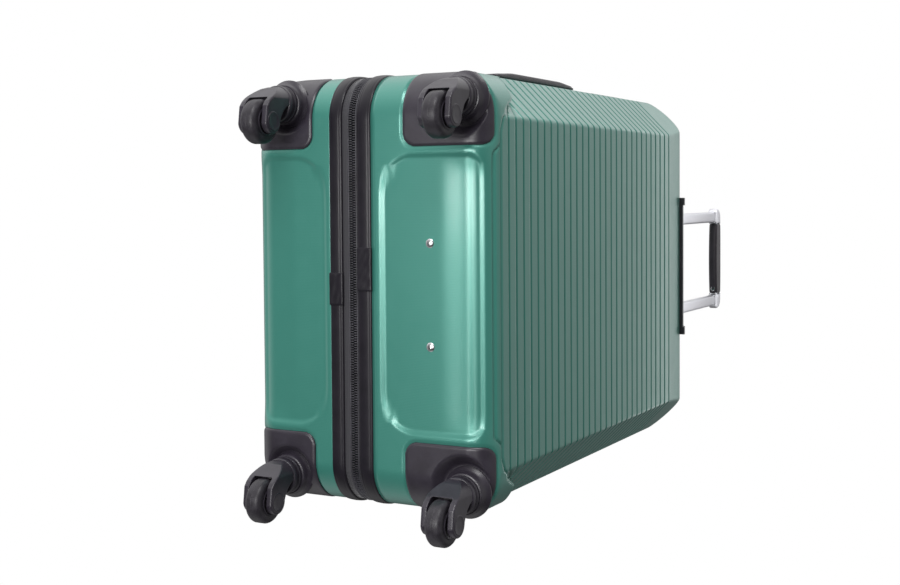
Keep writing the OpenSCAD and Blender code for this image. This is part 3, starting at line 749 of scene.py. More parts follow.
def trim_to_outline(points, faces, area):
    """Drops what lies outside the outline and slides the last points in or out onto it."""
    keep = [f for f in faces if any(area[i] < 0 for i in f)]
    points = points.copy()
    neighbours = {}
    for f in keep:
        for a, b in zip(f, f[1:] + f[:1]):
            neighbours.setdefault(a, set()).add(b)
            neighbours.setdefault(b, set()).add(a)
    moved = points.copy()
    for i, near in neighbours.items():
        if area[i] <= 0:
            continue
        inside = [j for j in near if area[j] < 0]
        if inside:
            spots = [points[j] + (points[i] - points[j]) * (-area[j] / (area[i] - area[j])) for j in inside]
            moved[i] = np.mean(spots, axis=0)
    lone = {i for i, near in neighbours.items() if area[i] > 0 and not any(area[j] < 0 for j in near)}
    for i in lone:
        edge = [j for j in neighbours[i] if area[j] > 0 and j not in lone]
        if edge:
            moved[i] = np.mean([moved[j] for j in edge], axis=0)
    used = sorted({i for f in keep for i in f})
    place = {old: new for new, old in enumerate(used)}
    return moved[used], [[place[i] for i in f] for f in keep]


BOSS = [(6, 0), (18.5, 0), (20.2, 0.6), (21, 2), (21, 5), (22.5, 8), (26, 10.6), (26, 12), (6, 12)]


def make_housing(node, inner_y, swivel_node, dish_r, side, back):
    pin_low, pin_high = cad(swivel_node)
    swivel = ((pin_high[0] - pin_low[0]) / 2 - 4.7, abs(pin_low[1] + pin_high[1]) / 2)
    points, faces = housing_skin(inner_y, swivel, dish_r)
    boss_low = cad(node)[0][2]
    boss = lathe(BOSS, (swivel[0], swivel[1], boss_low), 2, 72)
    flip = np.array([side, 1 if back else -1, 1])
    skin = mesh_piece("skin_" + node, points * flip, faces, node, 60.0, closed=False)
    outward(skin, tuple(np.array([150, 60, 130]) * flip))
    thicken(skin, 2.2)
    ring = mesh_piece("boss_" + node, boss[0] * flip, boss[1], node, 35.0, stands_for=False)
    return skin, ring


# ---------- seam: trims, tapes and teeth ----------

def band_profile(y0, y1, inner, outer, r, crown=0.0, groove=0.0):
    """A closed (y, outward) section from y0 to y1 with rounded outer edges, a crown and two fine grooves."""
    middle, half = (y0 + y1) / 2, (y1 - y0) / 2
    points = [(y0, inner), (y0, outer - r)]
    points += [(y0 + r * (1 - math.cos(t)), outer - r + r * math.sin(t)) for t in np.radians((30, 60, 90))]
    for s in np.linspace(-1, 1, 17)[1:-1]:
        y = middle + s * (half - r)
        cut = groove * math.exp(-((abs(s) - 0.78) / 0.06) ** 2)
        points.append((y, outer + crown * (1 - s * s) - cut))
    points += [(y1 - r * (1 - math.cos(t)), outer - r + r * math.sin(t)) for t in np.radians((90, 60, 30))]
    return points + [(y1, outer - r), (y1, inner)]


def zip_path(step):
    """The path round the case without the hinge side's stretch of tape, evenly spaced."""
    path = front_path(straight_step=4.0, corner_steps=36)
    tape_low, tape_high = cad("hinge_tape_back")
    keep = ~((path[:, 0] < -HALF_W + 9) & (path[:, 1] > tape_low[2]) & (path[:, 1] < tape_high[2]))
    first = int(np.argmax(~keep))
    path, keep = np.roll(path, -first, 0), np.roll(keep, -first)
    start = np.array([[-HALF_W, tape_low[2], -1.0, 0.0]])
    end = np.array([[-HALF_W, tape_high[2], -1.0, 0.0]])
    return even_path(np.vstack([start, path[keep], end]), step)


def even_path(path, step):
    lengths = np.concatenate([[0], np.cumsum(np.linalg.norm(np.diff(path[:, :2], axis=0), axis=1))])
    places = np.linspace(0, lengths[-1], max(2, round(lengths[-1] / step)))
    even = np.stack([np.interp(places, lengths, path[:, i]) for i in range(4)], 1)
    even[:, 2:] /= np.linalg.norm(even[:, 2:], axis=1, keepdims=True)
    return even


def along_path(shape, path, every=1, start=0):
    """Copies of a small (points, faces) shape along a path. Its axes are (along, y, outward)."""
    points, faces = shape
    points = np.asarray(points, float)
    rows = path[start::every]
    tangents = np.stack([-rows[:, 3], rows[:, 2]], 1)
    copies = np.zeros((len(rows), len(points), 3))
    copies[:, :, 0] = rows[:, 0:1] + tangents[:, 0:1] * points[:, 0] + rows[:, 2:3] * points[:, 2]
    copies[:, :, 1] = points[:, 1]
    copies[:, :, 2] = rows[:, 1:2] + tangents[:, 1:2] * points[:, 0] + rows[:, 3:4] * points[:, 2]
    every_face = [[i + k * len(points) for i in f] for k in range(len(rows)) for f in faces]
    return copies.reshape(-1, 3), every_face


def pill(length, y0, y1, low, high, along_y=True):
    """A small rounded bar that lies across the path (along y) or along it."""
    half = (high - low) / 2
    middle = (high + low) / 2
    sections = []
    steps = ((0.0, 0.45), (0.12, 0.85), (0.3, 1.0), (0.7, 1.0), (0.88, 0.85), (1.0, 0.45))
    for t, size in steps:
        ring = []
        for a in np.radians(np.arange(0, 360, 60)):
            u = length / 2 * size * math.cos(a)
            h = middle + half * size * math.sin(a)
            lying = (-length / 2 + length * t, u * (y1 - y0) / length + (y0 + y1) / 2, h)
            ring.append((u, y0 + (y1 - y0) * t, h) if along_y else lying)
        sections.append(ring)
    return loft(sections)


TOOTH_PITCH = 2.5
STITCH_PITCH = 4.2


def make_trims():
    for name, node in (("back_trim_band", "back_trim"), ("lid_trim_band", "front_trim")):
        low, high = cad(node)
        outer = high[0] - HALF_W
        profile = band_profile(low[1], high[1], outer - 6.5, outer - 0.4, 1.6, 0.4, 0.25)
        mesh_piece(name, *ring_sweep(profile, front_path(20.0)), node, 50.0)


def make_tapes():
    path = zip_path(6.0)
    for name, node in (("back_tape_band", "back_zip_tape"), ("lid_tape_band", "front_zip_tape")):
        low, high = cad(node)
        outer = high[0] - HALF_W
        profile = [(low[1], outer - 1.4), (low[1], outer), (high[1], outer), (high[1], outer - 1.4)]
        y = [low[1] + (high[1] - low[1]) * t for t in np.linspace(0, 1, 13)]
        ridges = [(v, outer + 0.12 * math.cos(6 * math.pi * i / 12)) for i, v in enumerate(y)]
        profile = [(low[1], outer - 1.4)] + ridges + [(high[1], outer - 1.4)]
        mesh_piece(name, *ring_sweep(profile, path, closed=False), node, 60.0)


def make_stitches(name, node, y):
    path = even_path(zip_path(2.0), STITCH_PITCH)
    surface = cad(node)[1][0] - HALF_W
    shape = pill(2.9, y - 0.35, y + 0.35, surface - 0.3, surface + 0.35, along_y=False)
    mesh_piece(name, *along_path(shape, path), node, 60.0, stands_for=False)


def make_teeth():
    """Coil teeth: each row's loops reach across the meeting plane between the other row's."""
    path = even_path(zip_path(2.0), TOOTH_PITCH / 2)
    seam = (cad("back_zip_coil")[0][1] + cad("front_zip_coil")[1][1]) / 2
    rows = (("back_teeth", "back_zip_coil", 0, -1), ("lid_teeth", "front_zip_coil", 1, 1))
    for name, node, start, inward in rows:
        low, high = cad(node)
        root = high[1] if inward < 0 else low[1]
        tip = seam + inward * 0.05
        tooth = pill(1.5, min(root - inward * 0.2, tip), max(root - inward * 0.2, tip), -2.0, -0.1)
        cord_y = root - inward * 0.9
        cord = ring_sweep([(cord_y + 0.75 * math.cos(a), -1.1 + 0.75 * math.sin(a))
                           for a in np.radians(np.arange(0, 360, 45))], zip_path(6.0), closed=False)
        mesh_piece(name, *joined([along_path(tooth, path, 2, start), cord]), node, 50.0)


def make_trim_clips():
    """Soft sleeves over the joints of the trims, a little dented."""
    for name, node, seed in (("back_clip", "back_trim_sleeve", 3), ("lid_clip", "front_trim_sleeve", 8)):
        low, high = cad(node)
        rng = np.random.default_rng(seed)
        waves = rng.uniform(-1, 1, (6, 4))
        rows = []
        for x in np.linspace(low[0], high[0], 45):
            ring = []
            for y, h in band_profile(low[1] - 0.6, high[1] + 0.6, -1.9, 0.35, 1.2):
                dent = sum(0.09 * math.sin(w[0] * x * 0.5 + w[1] * y * 0.9 + 6 * w[2]) * w[3] for w in waves)
                end = 0.5 * (1 - smooth_step(min(x - low[0], high[0] - x) / 1.2))
                ring.append((x, y, low[2] + 0.45 - (h + dent - end if h > -1.0 else h)))
            rows.append(ring)
        mesh_piece(name, *loft(rows), node, 50.0)


# ---------- casters ----------

FORK_FRONT = [(-2.0, 51.0), (17.0, 51.0), (17.3, 47.0), (15.2, 39.5), (5.2, 21.5), (1.5, 16.6), (-3.5, 12.6),
              (-9.0, 10.6)]
FORK_REAR = [(-19.0, 35.2), (-14.0, 37.2), (-9.0, 40.6), (-5.0, 45.2)]
ARM_R = 12.5


def swivel_place(letters):
    joint = JOINTS["swivel_" + letters]
    roll = JOINTS["roll_" + letters]
    return np.array(joint["pos_m"]) / MM * np.array([1, 1, 0]), np.array(roll["pos_m"]) / MM


def fork_shape(trail, wheel_z, wheel_r, gap_w):
    """The fork about its swivel axis: a side outline, rounded in plan, with the wheel's room cut out."""
    boss = arc(-trail, wheel_z, ARM_R, -100, -270, 18)
    side = slab(np.array(FORK_FRONT[:-1] + boss + FORK_REAR[1:]), -17.8, 17.8, 1.6, axis=1)
    body = loose_object(side)
    plan = arc(0, 0, 18.4, -75, 75, 24) + arc(-3, 14.8, 3.2, 75, 90, 2) + [(-40, 18.0), (-40, -18.0)]
    plan += arc(-3, -14.8, 3.2, -90, -75, 2)
    carve(body, loose_object(slab(np.array(plan), 5, 52, 0.5)), "INTERSECT")
    room = [(0, -gap_w / 2), (wheel_r + 1.2, -gap_w / 2), (wheel_r + 1.9, -gap_w / 2 + 0.7),
            (wheel_r + 1.9, gap_w / 2 - 0.7), (wheel_r + 1.2, gap_w / 2), (0, gap_w / 2)]
    carve(body, loose_object(lathe(room, (-trail, 0, wheel_z), 1, 96)), "DIFFERENCE")
    fine = body.modifiers.new("fine", "REMESH")
    fine.mode = "VOXEL"
    fine.voxel_size = 0.55 * MM
    soft = body.modifiers.new("soft", "SMOOTH")
    soft.factor = 0.5
    soft.iterations = 6
    apply_modifiers(body)
    return shape_of(body)


TURRET = [(5, 0), (17.2, 0), (18.4, 0.5), (19, 1.6), (19, 7.6), (18.3, 8.2), (18.3, 9.2), (19, 9.8),
          (19, 12.2), (18.4, 12.9), (5, 12.9)]
HUB = [(3.1, -10.0), (5.5, -10.2), (6.2, -9.0), (7.5, -8.2), (11.0, -8.2), (12.2, -9.4), (13.2, -10.0),
       (14.2, -9.6)]
HUB += [(radius, -height) for radius, height in reversed(HUB)]
CAP = [(0, -1.6), (9.8, -1.6), (9.8, -0.1), (9.4, 0.35), (8.6, 0.5), (8.2, 0.32), (3.0, 0.42), (0, 0.45)]


TYRE_SLACK = 1.3
TYRE_ROUND = 5.6


def tyre_profile(r, half_w):
    half_w -= TYRE_SLACK
    profile = [(14.0, -half_w + 0.6), (15.4, -half_w + 0.1), (r - 8.0, -half_w)]
    for t in np.radians(np.arange(8, 84, 8)):
        profile.append((r - TYRE_ROUND + TYRE_ROUND * math.sin(t), -half_w + TYRE_ROUND * (1 - math.cos(t))))
    profile += [(r - 0.05, -0.6), (r - 0.04, -0.3), (r - 0.16, 0.0)]
    return profile + [(x, -h) for x, h in reversed(profile[:-1])]


def make_casters():
    middle, axle = swivel_place("br")
    trail = middle[0] - axle[0]
    wheel_low, wheel_high = cad("tyre_br")
    wheel_r = (wheel_high[0] - wheel_low[0]) / 2
    half_w = (wheel_high[1] - wheel_low[1]) / 2
    turret_z = cad("fork_br")[1][2] - TURRET[-1][1]
    fork = fork_shape(trail, axle[2], wheel_r, 2 * half_w + 1.6)
    line = np.array([(14.6, 39.6), (5.6, 23.4), (5.0, 23.7), (14.0, 39.9)]) + (0.32, -0.18)
    seam = slab(line, -0.28, 0.28, 0.05, axis=1)
    for letters in ("bl", "br", "fl", "fr"):
        middle, axle = swivel_place(letters)
        turret = lathe(TURRET, (middle[0], middle[1], turret_z), 2, 72)
        moved = [(fork[0] + middle, fork[1]), turret, (seam[0] + middle, seam[1])]
        mesh_piece("fork_body_" + letters, *joined(moved), "fork_" + letters, 60.0)
        caps = [lathe([(3.0, -17), (3.0, 17)], axle, 1, 32)]
        for side in (-1, 1):
            caps.append(lathe([(r, side * (17.8 + h)) for r, h in CAP], axle, 1, 64))
        mesh_piece("axle_caps_" + letters, *joined(caps), "axle_" + letters, 30.0)
        mesh_piece("wheel_hub_" + letters, *lathe(HUB, axle, 1, 64), "hub_" + letters, 30.0)
        tyre = lathe(tyre_profile(wheel_r, half_w), axle, 1, 96)
        mesh_piece("wheel_tyre_" + letters, *tyre, "tyre_" + letters, 40.0)


# ---------- rivets, feet, trolley ----------

RIVET_HEAD = [(0, 0.1), (1.6, 0.15), (3.0, 0.5), (4.1, 1.0), (4.6, 1.5), (4.6, 1.8), (2.2, 1.9)]
RIVET_TAIL = [(2.2, -1.2), (4.4, -1.0), (3.6, -0.2), (0, 0)]


def make_rivets():
    low, high = cad("trolley_rivets")
    r = 4.6
    parts = []
    for x in (low[0] + r, high[0] - r):
        centre = (x, (low[1] + high[1]) / 2, 0)
        dome = [(radius, low[2] + h) for radius, h in RIVET_HEAD]
        dome += [(radius, high[2] + h) for radius, h in RIVET_TAIL]
        parts.append(lathe(dome, centre, 2, 40))
    mesh_piece("rivet_heads", *joined(parts), "trolley_rivets", 40.0)


def make_feet():
    for name, node in (("back_feet", "side_feet_back"), ("lid_feet", "side_feet_front")):
        low, high = cad(node)
        r = (high[1] - low[1]) / 2
        parts = []
        for z in (low[2] + r, high[2] - r):
            base = (high[0], (low[1] + high[1]) / 2, z)
            profile = [(0, 0.5), (r, 0.5), (r, -1.5), (r - 0.6, -2.2), (r - 0.7, -3.2), (r - 1.6, -7.4)]
            profile += [(r - 2.6, -8.6), (r - 4.2, -9.0), (r - 5.0, -8.4), (0, -8.2)]
            parts.append(lathe(profile, base, 0, 48))
        mesh_piece(name, *joined(parts), node, 35.0)


def tube_pair(node, size, r, low_z, high_z):
    """Two hollow-looking rounded tubes at the node's own places."""
    low, high = cad(node)
    half = np.array(size) / 2
    middle_y = (low[1] + high[1]) / 2
    parts = []
    for x in (-TUBE_X, TUBE_X):
        outline = np.array(rounded_rectangle(half[0], half[1], r, 4)) + (x, middle_y)
        parts.append(slab(outline, low_z, high_z, 0.4))
    return parts


TUBE_X = 62.0
TUBE_Y = 114.0


def corner_outline(x0, x1, tube_in, tube_out, low_z, top_z):
    """The silver corner seen from the front: over the tube and round to the sleeve."""
    outline = [(x0, low_z + 3.5)]
    outline += arc(tube_in - 4.0, low_z - 0.5, 4.0, 90, 0, 5)
    outline += [(tube_in, low_z - 5.2), (tube_out, low_z - 5.2), (x1, low_z + 3)]
    outline += arc(x1 - 14, top_z - 14, 14, 0, 90, 12)
    outline += [(x0, top_z)]
    return np.array(outline)


def make_trolley():
    low, high = cad("inner_tubes")
    sleeve_low, sleeve_high = cad("grip_sleeve")
    top = high[2]
    grip_low = sleeve_low[2] + 1.5
    size = (15.4, 10.4)
    inner = tube_pair("inner_tubes", size, 3.4, low[2], grip_low - 4)
    for side in (-1, 1):
        outline = corner_outline(sleeve_high[0], high[0], TUBE_X - 7.9, TUBE_X + 7.9, grip_low, top)
        outline = outline * (side, 1)
        inner.append(slab(outline, TUBE_Y - 6, TUBE_Y + 6, 2.4, axis=1, steps=4))
    core_low = (sleeve_low[0] - 1, TUBE_Y - 4, grip_low + 6)
    core_high = (sleeve_high[0] + 1, TUBE_Y + 4, grip_low + 14)
    inner.append(rounded_box(core_low, core_high, 1, 0.3, 0))
    mesh_piece("inner_tube_pair", *joined(inner), "inner_tubes", 35.0)
    low, high = cad("mid_tubes")
    mid = tube_pair("mid_tubes", (18.4, 13.4), 3.8, low[2], high[2])
    mesh_piece("mid_tube_pair", *joined(mid), "mid_tubes", 35.0)
    rows = []
    for x in np.linspace(sleeve_low[0], sleeve_high[0], 41):
        t = x / sleeve_high[0]
        end = 0.7 * (1 - smooth_step((abs(sleeve_low[0]) - abs(x)) / 1.5))
        bottom = sleeve_low[2] + 3.2 * t * t
        roof = sleeve_high[2] - 1.0 * t ** 4
        half_y = 6.5 - end
        ring = np.array(rounded_rectangle(half_y, (roof - bottom) / 2 - end, 4.2, 6))
        rows.append([(x, TUBE_Y + u, (roof + bottom) / 2 + v) for u, v in ring])
    mesh_piece("sleeve_body", *loft(rows), "grip_sleeve", 40.0)
    low, high = cad("grip_screw")
    centre = ((low[0] + high[0]) / 2, TUBE_Y, 0)
    under = sleeve_low[2] + 3.2 * (centre[0] / sleeve_high[0]) ** 2
    screw = [(0, 0.5), (1.2, 0.5), (1.4, -0.1), (2.9, -0.25), (3.5, 0.2), (3.5, 2.5), (0, 2.5)]
    screw = [(radius, under + height) for radius, height in screw]
    mesh_piece("screw_head", *lathe(screw, centre, 2, 32), "grip_screw", 30.0)
    low, high = cad("release_button")
    mesh_piece("button_cap", *rounded_box(low, high, 3.4, 0.9), "release_button", 40.0)


# ---------- carry handles, lock, zip sliders ----------

def place_on_side(points, node_low, node_high):
    """Handle points, with x along it and z away from the case, put on the +X side."""
    middle = (node_low + node_high) / 2
    points = np.asarray(points)
    return np.stack([HALF_W + points[:, 2], middle[1] + points[:, 1], middle[2] - points[:, 0]], 1)


def place_on_top(points, node_low, node_high):
    middle = (node_low + node_high) / 2
    points = np.asarray(points)
    return np.stack([middle[0] + points[:, 0], middle[1] + points[:, 1], TOP + points[:, 2]], 1)


def handle_caps():
    """Two end caps with sloping backs, as (points, faces)."""
    parts = []
    for side in (-1, 1):
        rows = []
        for t in np.linspace(0, 1, 15):
            x = side * (112.5 - 25 * t)
            slope = min(1.0, 0.35 + 1.1 * math.sin(min(1.0, t * 1.9) * math.pi / 2))
            rise = 5.9 * slope * (1 - 0.12 * smooth_step(t * 2 - 1.2))
            half = 12 - 1.6 * (1 - smooth_step(t / 0.18))
            ring = [(-half, -0.6), (-half, rise - 2.2)]
            angles = np.radians((30, 60, 90))
            round_edge = [(2.2 - 2.2 * math.cos(a), 2.2 * math.sin(a) - 2.2) for a in angles]
            ring += [(u - half, rise + v) for u, v in round_edge]
            ring += [(0, rise + 0.25)]
            ring += [(half - u, rise + v) for u, v in reversed(round_edge)]
            ring += [(half, rise - 2.2), (half, -0.6)]
            rows.append([(x, y, z) for y, z in ring])
        parts.append(loft(rows))
    return joined(parts)


def handle_bar():
    """The soft bar with rounded edges and a grooved underside, and its legs."""
    rows = []
    for x in np.linspace(-108.5, 108.5, 61):
        t = abs(x) / 108.5
        low = 6.6 + 0.5 * (1 - t)
        high = 14.3 - 2.8 * smooth_step((t - 0.55) / 0.45) - 1.2 * smooth_step((t - 0.93) / 0.07)
        half = 10 - 1.2 * smooth_step((t - 0.9) / 0.1)
        rib = 0.25 * math.cos(x * 2 * math.pi / 6.0) * (t < 0.6)
        ring = rounded_rectangle(half, (high - low) / 2, 2.6, 4)
        rows.append([(x, y, (high + low) / 2 + z - (rib if z < 0 else 0)) for y, z in ring])
    parts = [loft(rows)]
    for side in (-1, 1):
        parts.append(rounded_box((side * 100.5 - 3, -7, -14), (side * 100.5 + 3, 7, 7.5), 1.0, 0.4))
    return joined(parts)


def make_handles():
    side_low, side_high = cad("side_handle_grip")
    top_low, top_high = cad("top_handle_grip")
    caps, faces = handle_caps()
    on_side = place_on_side(caps, side_low, side_high)
    on_top = place_on_top(caps, top_low, top_high)
    mesh_piece("handle_caps", *joined([(on_side, faces), (on_top, faces)]), "handle_mounts", 40.0)
    bar, faces = handle_bar()
    mesh_piece("side_handle_bar", place_on_side(bar, side_low, side_high), faces, "side_handle_grip", 40.0)
    mesh_piece("top_handle_bar", place_on_top(bar, top_low, top_high), faces, "top_handle_grip", 40.0)


def dial_shape(low, high):
    """A number wheel with finger notches between its ten flats."""
    centre = (low + high) / 2
    r = (high[0] - low[0]) / 2
    rows = []
    edge = ((0.0, 0.7), (0.5, 0.1), (1.0, 0))
    levels = [(low[2] + rise, shrink) for rise, shrink in edge]
    levels += [(high[2] - rise, shrink) for rise, shrink in reversed(edge)]
    for height, shrink in levels:
        ring = []
        for a in np.linspace(0, 2 * math.pi, 120, endpoint=False):
            notch = 0.55 * max(0.0, math.cos(10 * a)) ** 6
            out = r - shrink - notch
            ring.append((centre[0] + out * math.cos(a), centre[1] + out * math.sin(a), height))
        rows.append(ring)
    return loft(rows)


def make_lock():
    low, high = cad("lock_body")
    y0, y1, z0, z1 = low[1], high[1], low[2], high[2]
    face = high[0]
    dial_low, dial_high = cad("lock_dial_1")
    top_high = cad("lock_dial_3")[1]
    push_low, push_high = cad("lock_button")
    outline = np.array(rounded_rectangle((y1 - y0) / 2, (z1 - z0) / 2, 8, 8)) + ((y0 + y1) / 2, (z0 + z1) / 2)
    plate = loose_object(slab(outline, HALF_W - 0.5, face, 2.2, axis=0, steps=5))
    window = rounded_box((HALF_W + 0.5, dial_low[1] - 1.2, dial_low[2] - 2),
                         (face + 5, dial_high[1] + 1.2, top_high[2] + 2), 2, 0.2, 0)
    slot = rounded_box((HALF_W + 0.4, push_low[1] - 0.5, push_low[2] - 0.5),
                       (face + 5, push_high[1] + 0.5, push_high[2] + 0.5), 3, 0.2, 0)
    for opening in (window, slot):
        carve(plate, loose_object(opening), "DIFFERENCE")
    z_low, z_high = dial_low[2] - 2, top_high[2] + 2
    spindle = lathe([(0, z_low), (1.4, z_low), (1.4, z_high), (0, z_high)],
                    ((dial_low[0] + dial_high[0]) / 2, (y0 + y1) / 2, 0), 2, 24)
    insert = rounded_box((low[0], y0 + 5, z0 + 15), (HALF_W - 0.4, y1 - 5, z1 - 15), 3, 0.5, 0)
    mesh_piece("lock_plate", *joined([shape_of(plate), spindle, insert]), "lock_body", 35.0)
    for number in (1, 2, 3):
        dial_low, dial_high = cad(f"lock_dial_{number}")
        mesh_piece(f"number_wheel_{number}", *dial_shape(dial_low, dial_high), f"lock_dial_{number}", 40.0)
    mesh_piece("lock_push_cap", *rounded_box(push_low, push_high, 3.0, 0.8, 0), "lock_button", 40.0)


def make_sliders():
    for which in ("lower", "upper"):
        low, high = cad("zip_slider_" + which)
        middle = (low + high) / 2
        body_high = low[0] + 3.0
        outline = []
        for a in np.linspace(0, 2 * math.pi, 48, endpoint=False):
            u = math.copysign(abs(math.cos(a)) ** 0.6, math.cos(a)) * (high[1] - low[1]) / 2
            v = math.copysign(abs(math.sin(a)) ** 0.7, math.sin(a)) * (high[2] - low[2]) / 2
            outline.append((middle[1] + u * (1 - 0.18 * abs(v) / 12), middle[2] + v))
        parts = [slab(np.array(outline), low[0], body_high, 1.0, axis=0)]
        pin_low, pin_high = cad("zip_puller_" + which)
        pin_y, pin_x = pin_low[1] + 1.2, (pin_low[0] + pin_high[0]) / 2
        for end in (-1, 1):
            z = middle[2] + end * 7.5
            ear_low = (body_high - 1, pin_y - 2.4, z - 1.4)
            parts.append(rounded_box(ear_low, (high[0], pin_y + 2.4, z + 1.4), 1.2, 0.4, 2))
        mesh_piece("slider_body_" + which, *joined(parts), "zip_slider_" + which, 40.0)
        z0, z1 = middle[2] - 5.5, middle[2] + 5.5
        outline = [(pin_y - 1.0, z0), (pin_y - 1.0, z1)] + arc(pin_high[1] - 4, z1 - 4, 4, 0, 90, 6)[::-1]
        outline += arc(pin_high[1] - 4, z0 + 4, 4, 0, -90, 6)
        plate = loose_object(slab(np.array(outline), pin_x - 0.9, pin_x + 0.9, 0.5, axis=0))
        hole = lathe([(0, -3), (2.0, -3), (2.0, 3), (0, 3)], (pin_x, pin_high[1] - 6, middle[2]), 0, 32)
        carve(plate, loose_object(hole), "DIFFERENCE")
        pin = lathe([(0, -9), (1.2, -9), (1.2, 9), (0, 9)], (pin_x, pin_y, middle[2]), 2, 20)
        mesh_piece("puller_tab_" + which, *joined([shape_of(plate), pin]), "zip_puller_" + which, 40.0)


# ---------- inside ----------

HEM = [(0.4, 0.0), (0.4, 0.5), (1.0, 0.8), (8.0, 0.8), (8.8, 0.4), (8.8, 0.0)]


def sheet_outline(mesh, side):
    """The edge of a flat sheet's face that looks towards the seam, as evenly spaced x, z, nx, nz rows."""
    front = [p for p in mesh.polygons if p.normal.y * side > 0.9]
    level = max(side * mesh.vertices[i].co.y for p in front for i in p.vertices) - MM * 0.2
    used = {}
    for p in front:
        if side * mesh.vertices[p.vertices[0]].co.y > level:
            for key in p.edge_keys:
                used[key] = used.get(key, 0) + 1
    links = {}
    for (a, b), count in used.items():
        if count == 1:
            links.setdefault(a, []).append(b)
            links.setdefault(b, []).append(a)
    start = next(iter(links))
    loop, last = [start], None
    while True:
        after = next((i for i in links[loop[-1]] if i != last), start)
        last = loop[-1]
        if after == start:
            break
        loop.append(after)
    ring = np.array([(mesh.vertices[i].co.x, mesh.vertices[i].co.z) for i in loop + [start]]) / MM
    lengths = np.concatenate([[0], np.cumsum(np.linalg.norm(np.diff(ring, axis=0), axis=1))])
    places = np.linspace(0, lengths[-1], round(lengths[-1] / 4.0), endpoint=False)
    even = np.stack([np.interp(places, lengths, ring[:, i]) for i in range(2)], 1)
    return np.hstack([even, outline_normals(even)])


def cloth_sag(x, z, seed):
    """How far a lining hangs back between its edges and the strap: soft folds, flat along the strap."""
    rng = np.random.default_rng(seed)
    height = np.zeros_like(x)
    for a, b, phase in rng.uniform((-0.035, -0.02, 0), (0.035, 0.02, 6.28), (7, 3)):
        height += np.sin(a * x + b * z + phase + 0.8 * np.sin(0.02 * x - 0.015 * z + phase))
    middle = (BOTTOM + TOP) / 2
    away = smooth_step((np.abs(z - middle) - 22) / 45)
    return 1.6 * away * (0.5 + 0.5 * np.tanh(height * 0.7))


def make_linings():
    panels = (("back_cloth", "back_lining", -1, 5), ("lid_cloth", "front_lining", 1, 11))
    for name, node, side, seed in panels:
        low, high = cad(node)
        source = frame["nodes"][node]
        work = bmesh.new()
        work.from_mesh(source.data)
        for axis, step in ((0, 8.0), (2, 8.0)):
            for place in np.arange(low[axis] + step, high[axis] - step / 2, step):
                spot, across = Vector(), Vector()
                spot[axis], across[axis] = place * MM, 1.0
                every = work.verts[:] + work.edges[:] + work.faces[:]
                bmesh.ops.bisect_plane(work, geom=every, dist=1e-6, plane_co=spot, plane_no=across)
        work.verts.index_update()
        points = np.array([v.co for v in work.verts]) / MM
        faces = [[v.index for v in f.verts] for f in work.faces]
        work.free()
        rim = sheet_outline(source.data, side)
        gap = np.min(np.hypot(points[:, 0:1] - rim[None, :, 0], points[:, 2:3] - rim[None, :, 1]), axis=1)
        points[:, 1] -= side * cloth_sag(points[:, 0], points[:, 2], seed) * smooth_step((gap - 9) / 30)
        piece = mesh_piece(name, points, faces, node, 40.0)
        face = high[1] if side > 0 else low[1]
        rows = np.stack([np.stack([rim[:, 0] - rim[:, 2] * inset, np.full(len(rim), face + side * rise),
                                   rim[:, 1] - rim[:, 3] * inset], 1) for inset, rise in HEM], 1)
        hem_faces = grid_faces(len(rim), len(HEM), close_rows=True, close_columns=True)
        hem = mesh_piece(name + "_hem", rows.reshape(-1, 3), hem_faces, node, 50.0, stands_for=False)
        top = sorted((face + side * 0.6, face + side * 1.05))
        stitch = pill(2.9, *top, -7.2, -6.6, along_y=False)
        thread = mesh_piece(name + "_thread", *along_path(stitch, rim), node, 50.0, stands_for=False)


def ribbon(path, z, width, thick):
    """Webbing along (x, y) points, its edges rounded."""
    path = np.asarray(path, float)
    along = np.gradient(path, axis=0)
    along /= np.linalg.norm(along, axis=1, keepdims=True)
    sections = []
    for (x, y), (dx, dy) in zip(path, along):
        ring = rounded_rectangle(thick / 2, width / 2, thick * 0.45, 3)
        sections.append([(x - dy * u, y + dx * u, z + v) for u, v in ring])
    return loft(sections)


def curve_through(spots, step=2.0):
    """A smooth path through a few (x, y) places."""
    spots = np.asarray(spots, float)
    lengths = np.concatenate([[0], np.cumsum(np.linalg.norm(np.diff(spots, axis=0), axis=1))])
    places = np.linspace(0, lengths[-1], round(lengths[-1] / step))
    path = np.stack([np.interp(places, lengths, spots[:, i]) for i in range(2)], 1)
    for _ in range(4):
        path[1:-1] = 0.25 * path[:-2] + 0.5 * path[1:-1] + 0.25 * path[2:]
    return path


def buckle_half(side, low, high, y_front, y_back, length):
    """One half of a side-release buckle: a body with a slot for its strap."""
    z = (low + high) / 2
    half_z = (high - low) / 2
    outline = np.array(rounded_rectangle(length / 2, half_z, 5, 6)) * (1, 1) + (side * (28 - length / 2), z)
    body = loose_object(slab(outline, y_front, y_back, 1.1, axis=1, steps=4))
    x = side * 20.5
    slot = rounded_box((x - 2.6, y_front - 2, z - 12.9), (x + 2.6, y_back + 2, z + 12.9), 1, 0.2, 1)
    carve(body, loose_object(slot), "DIFFERENCE")
    return shape_of(body)


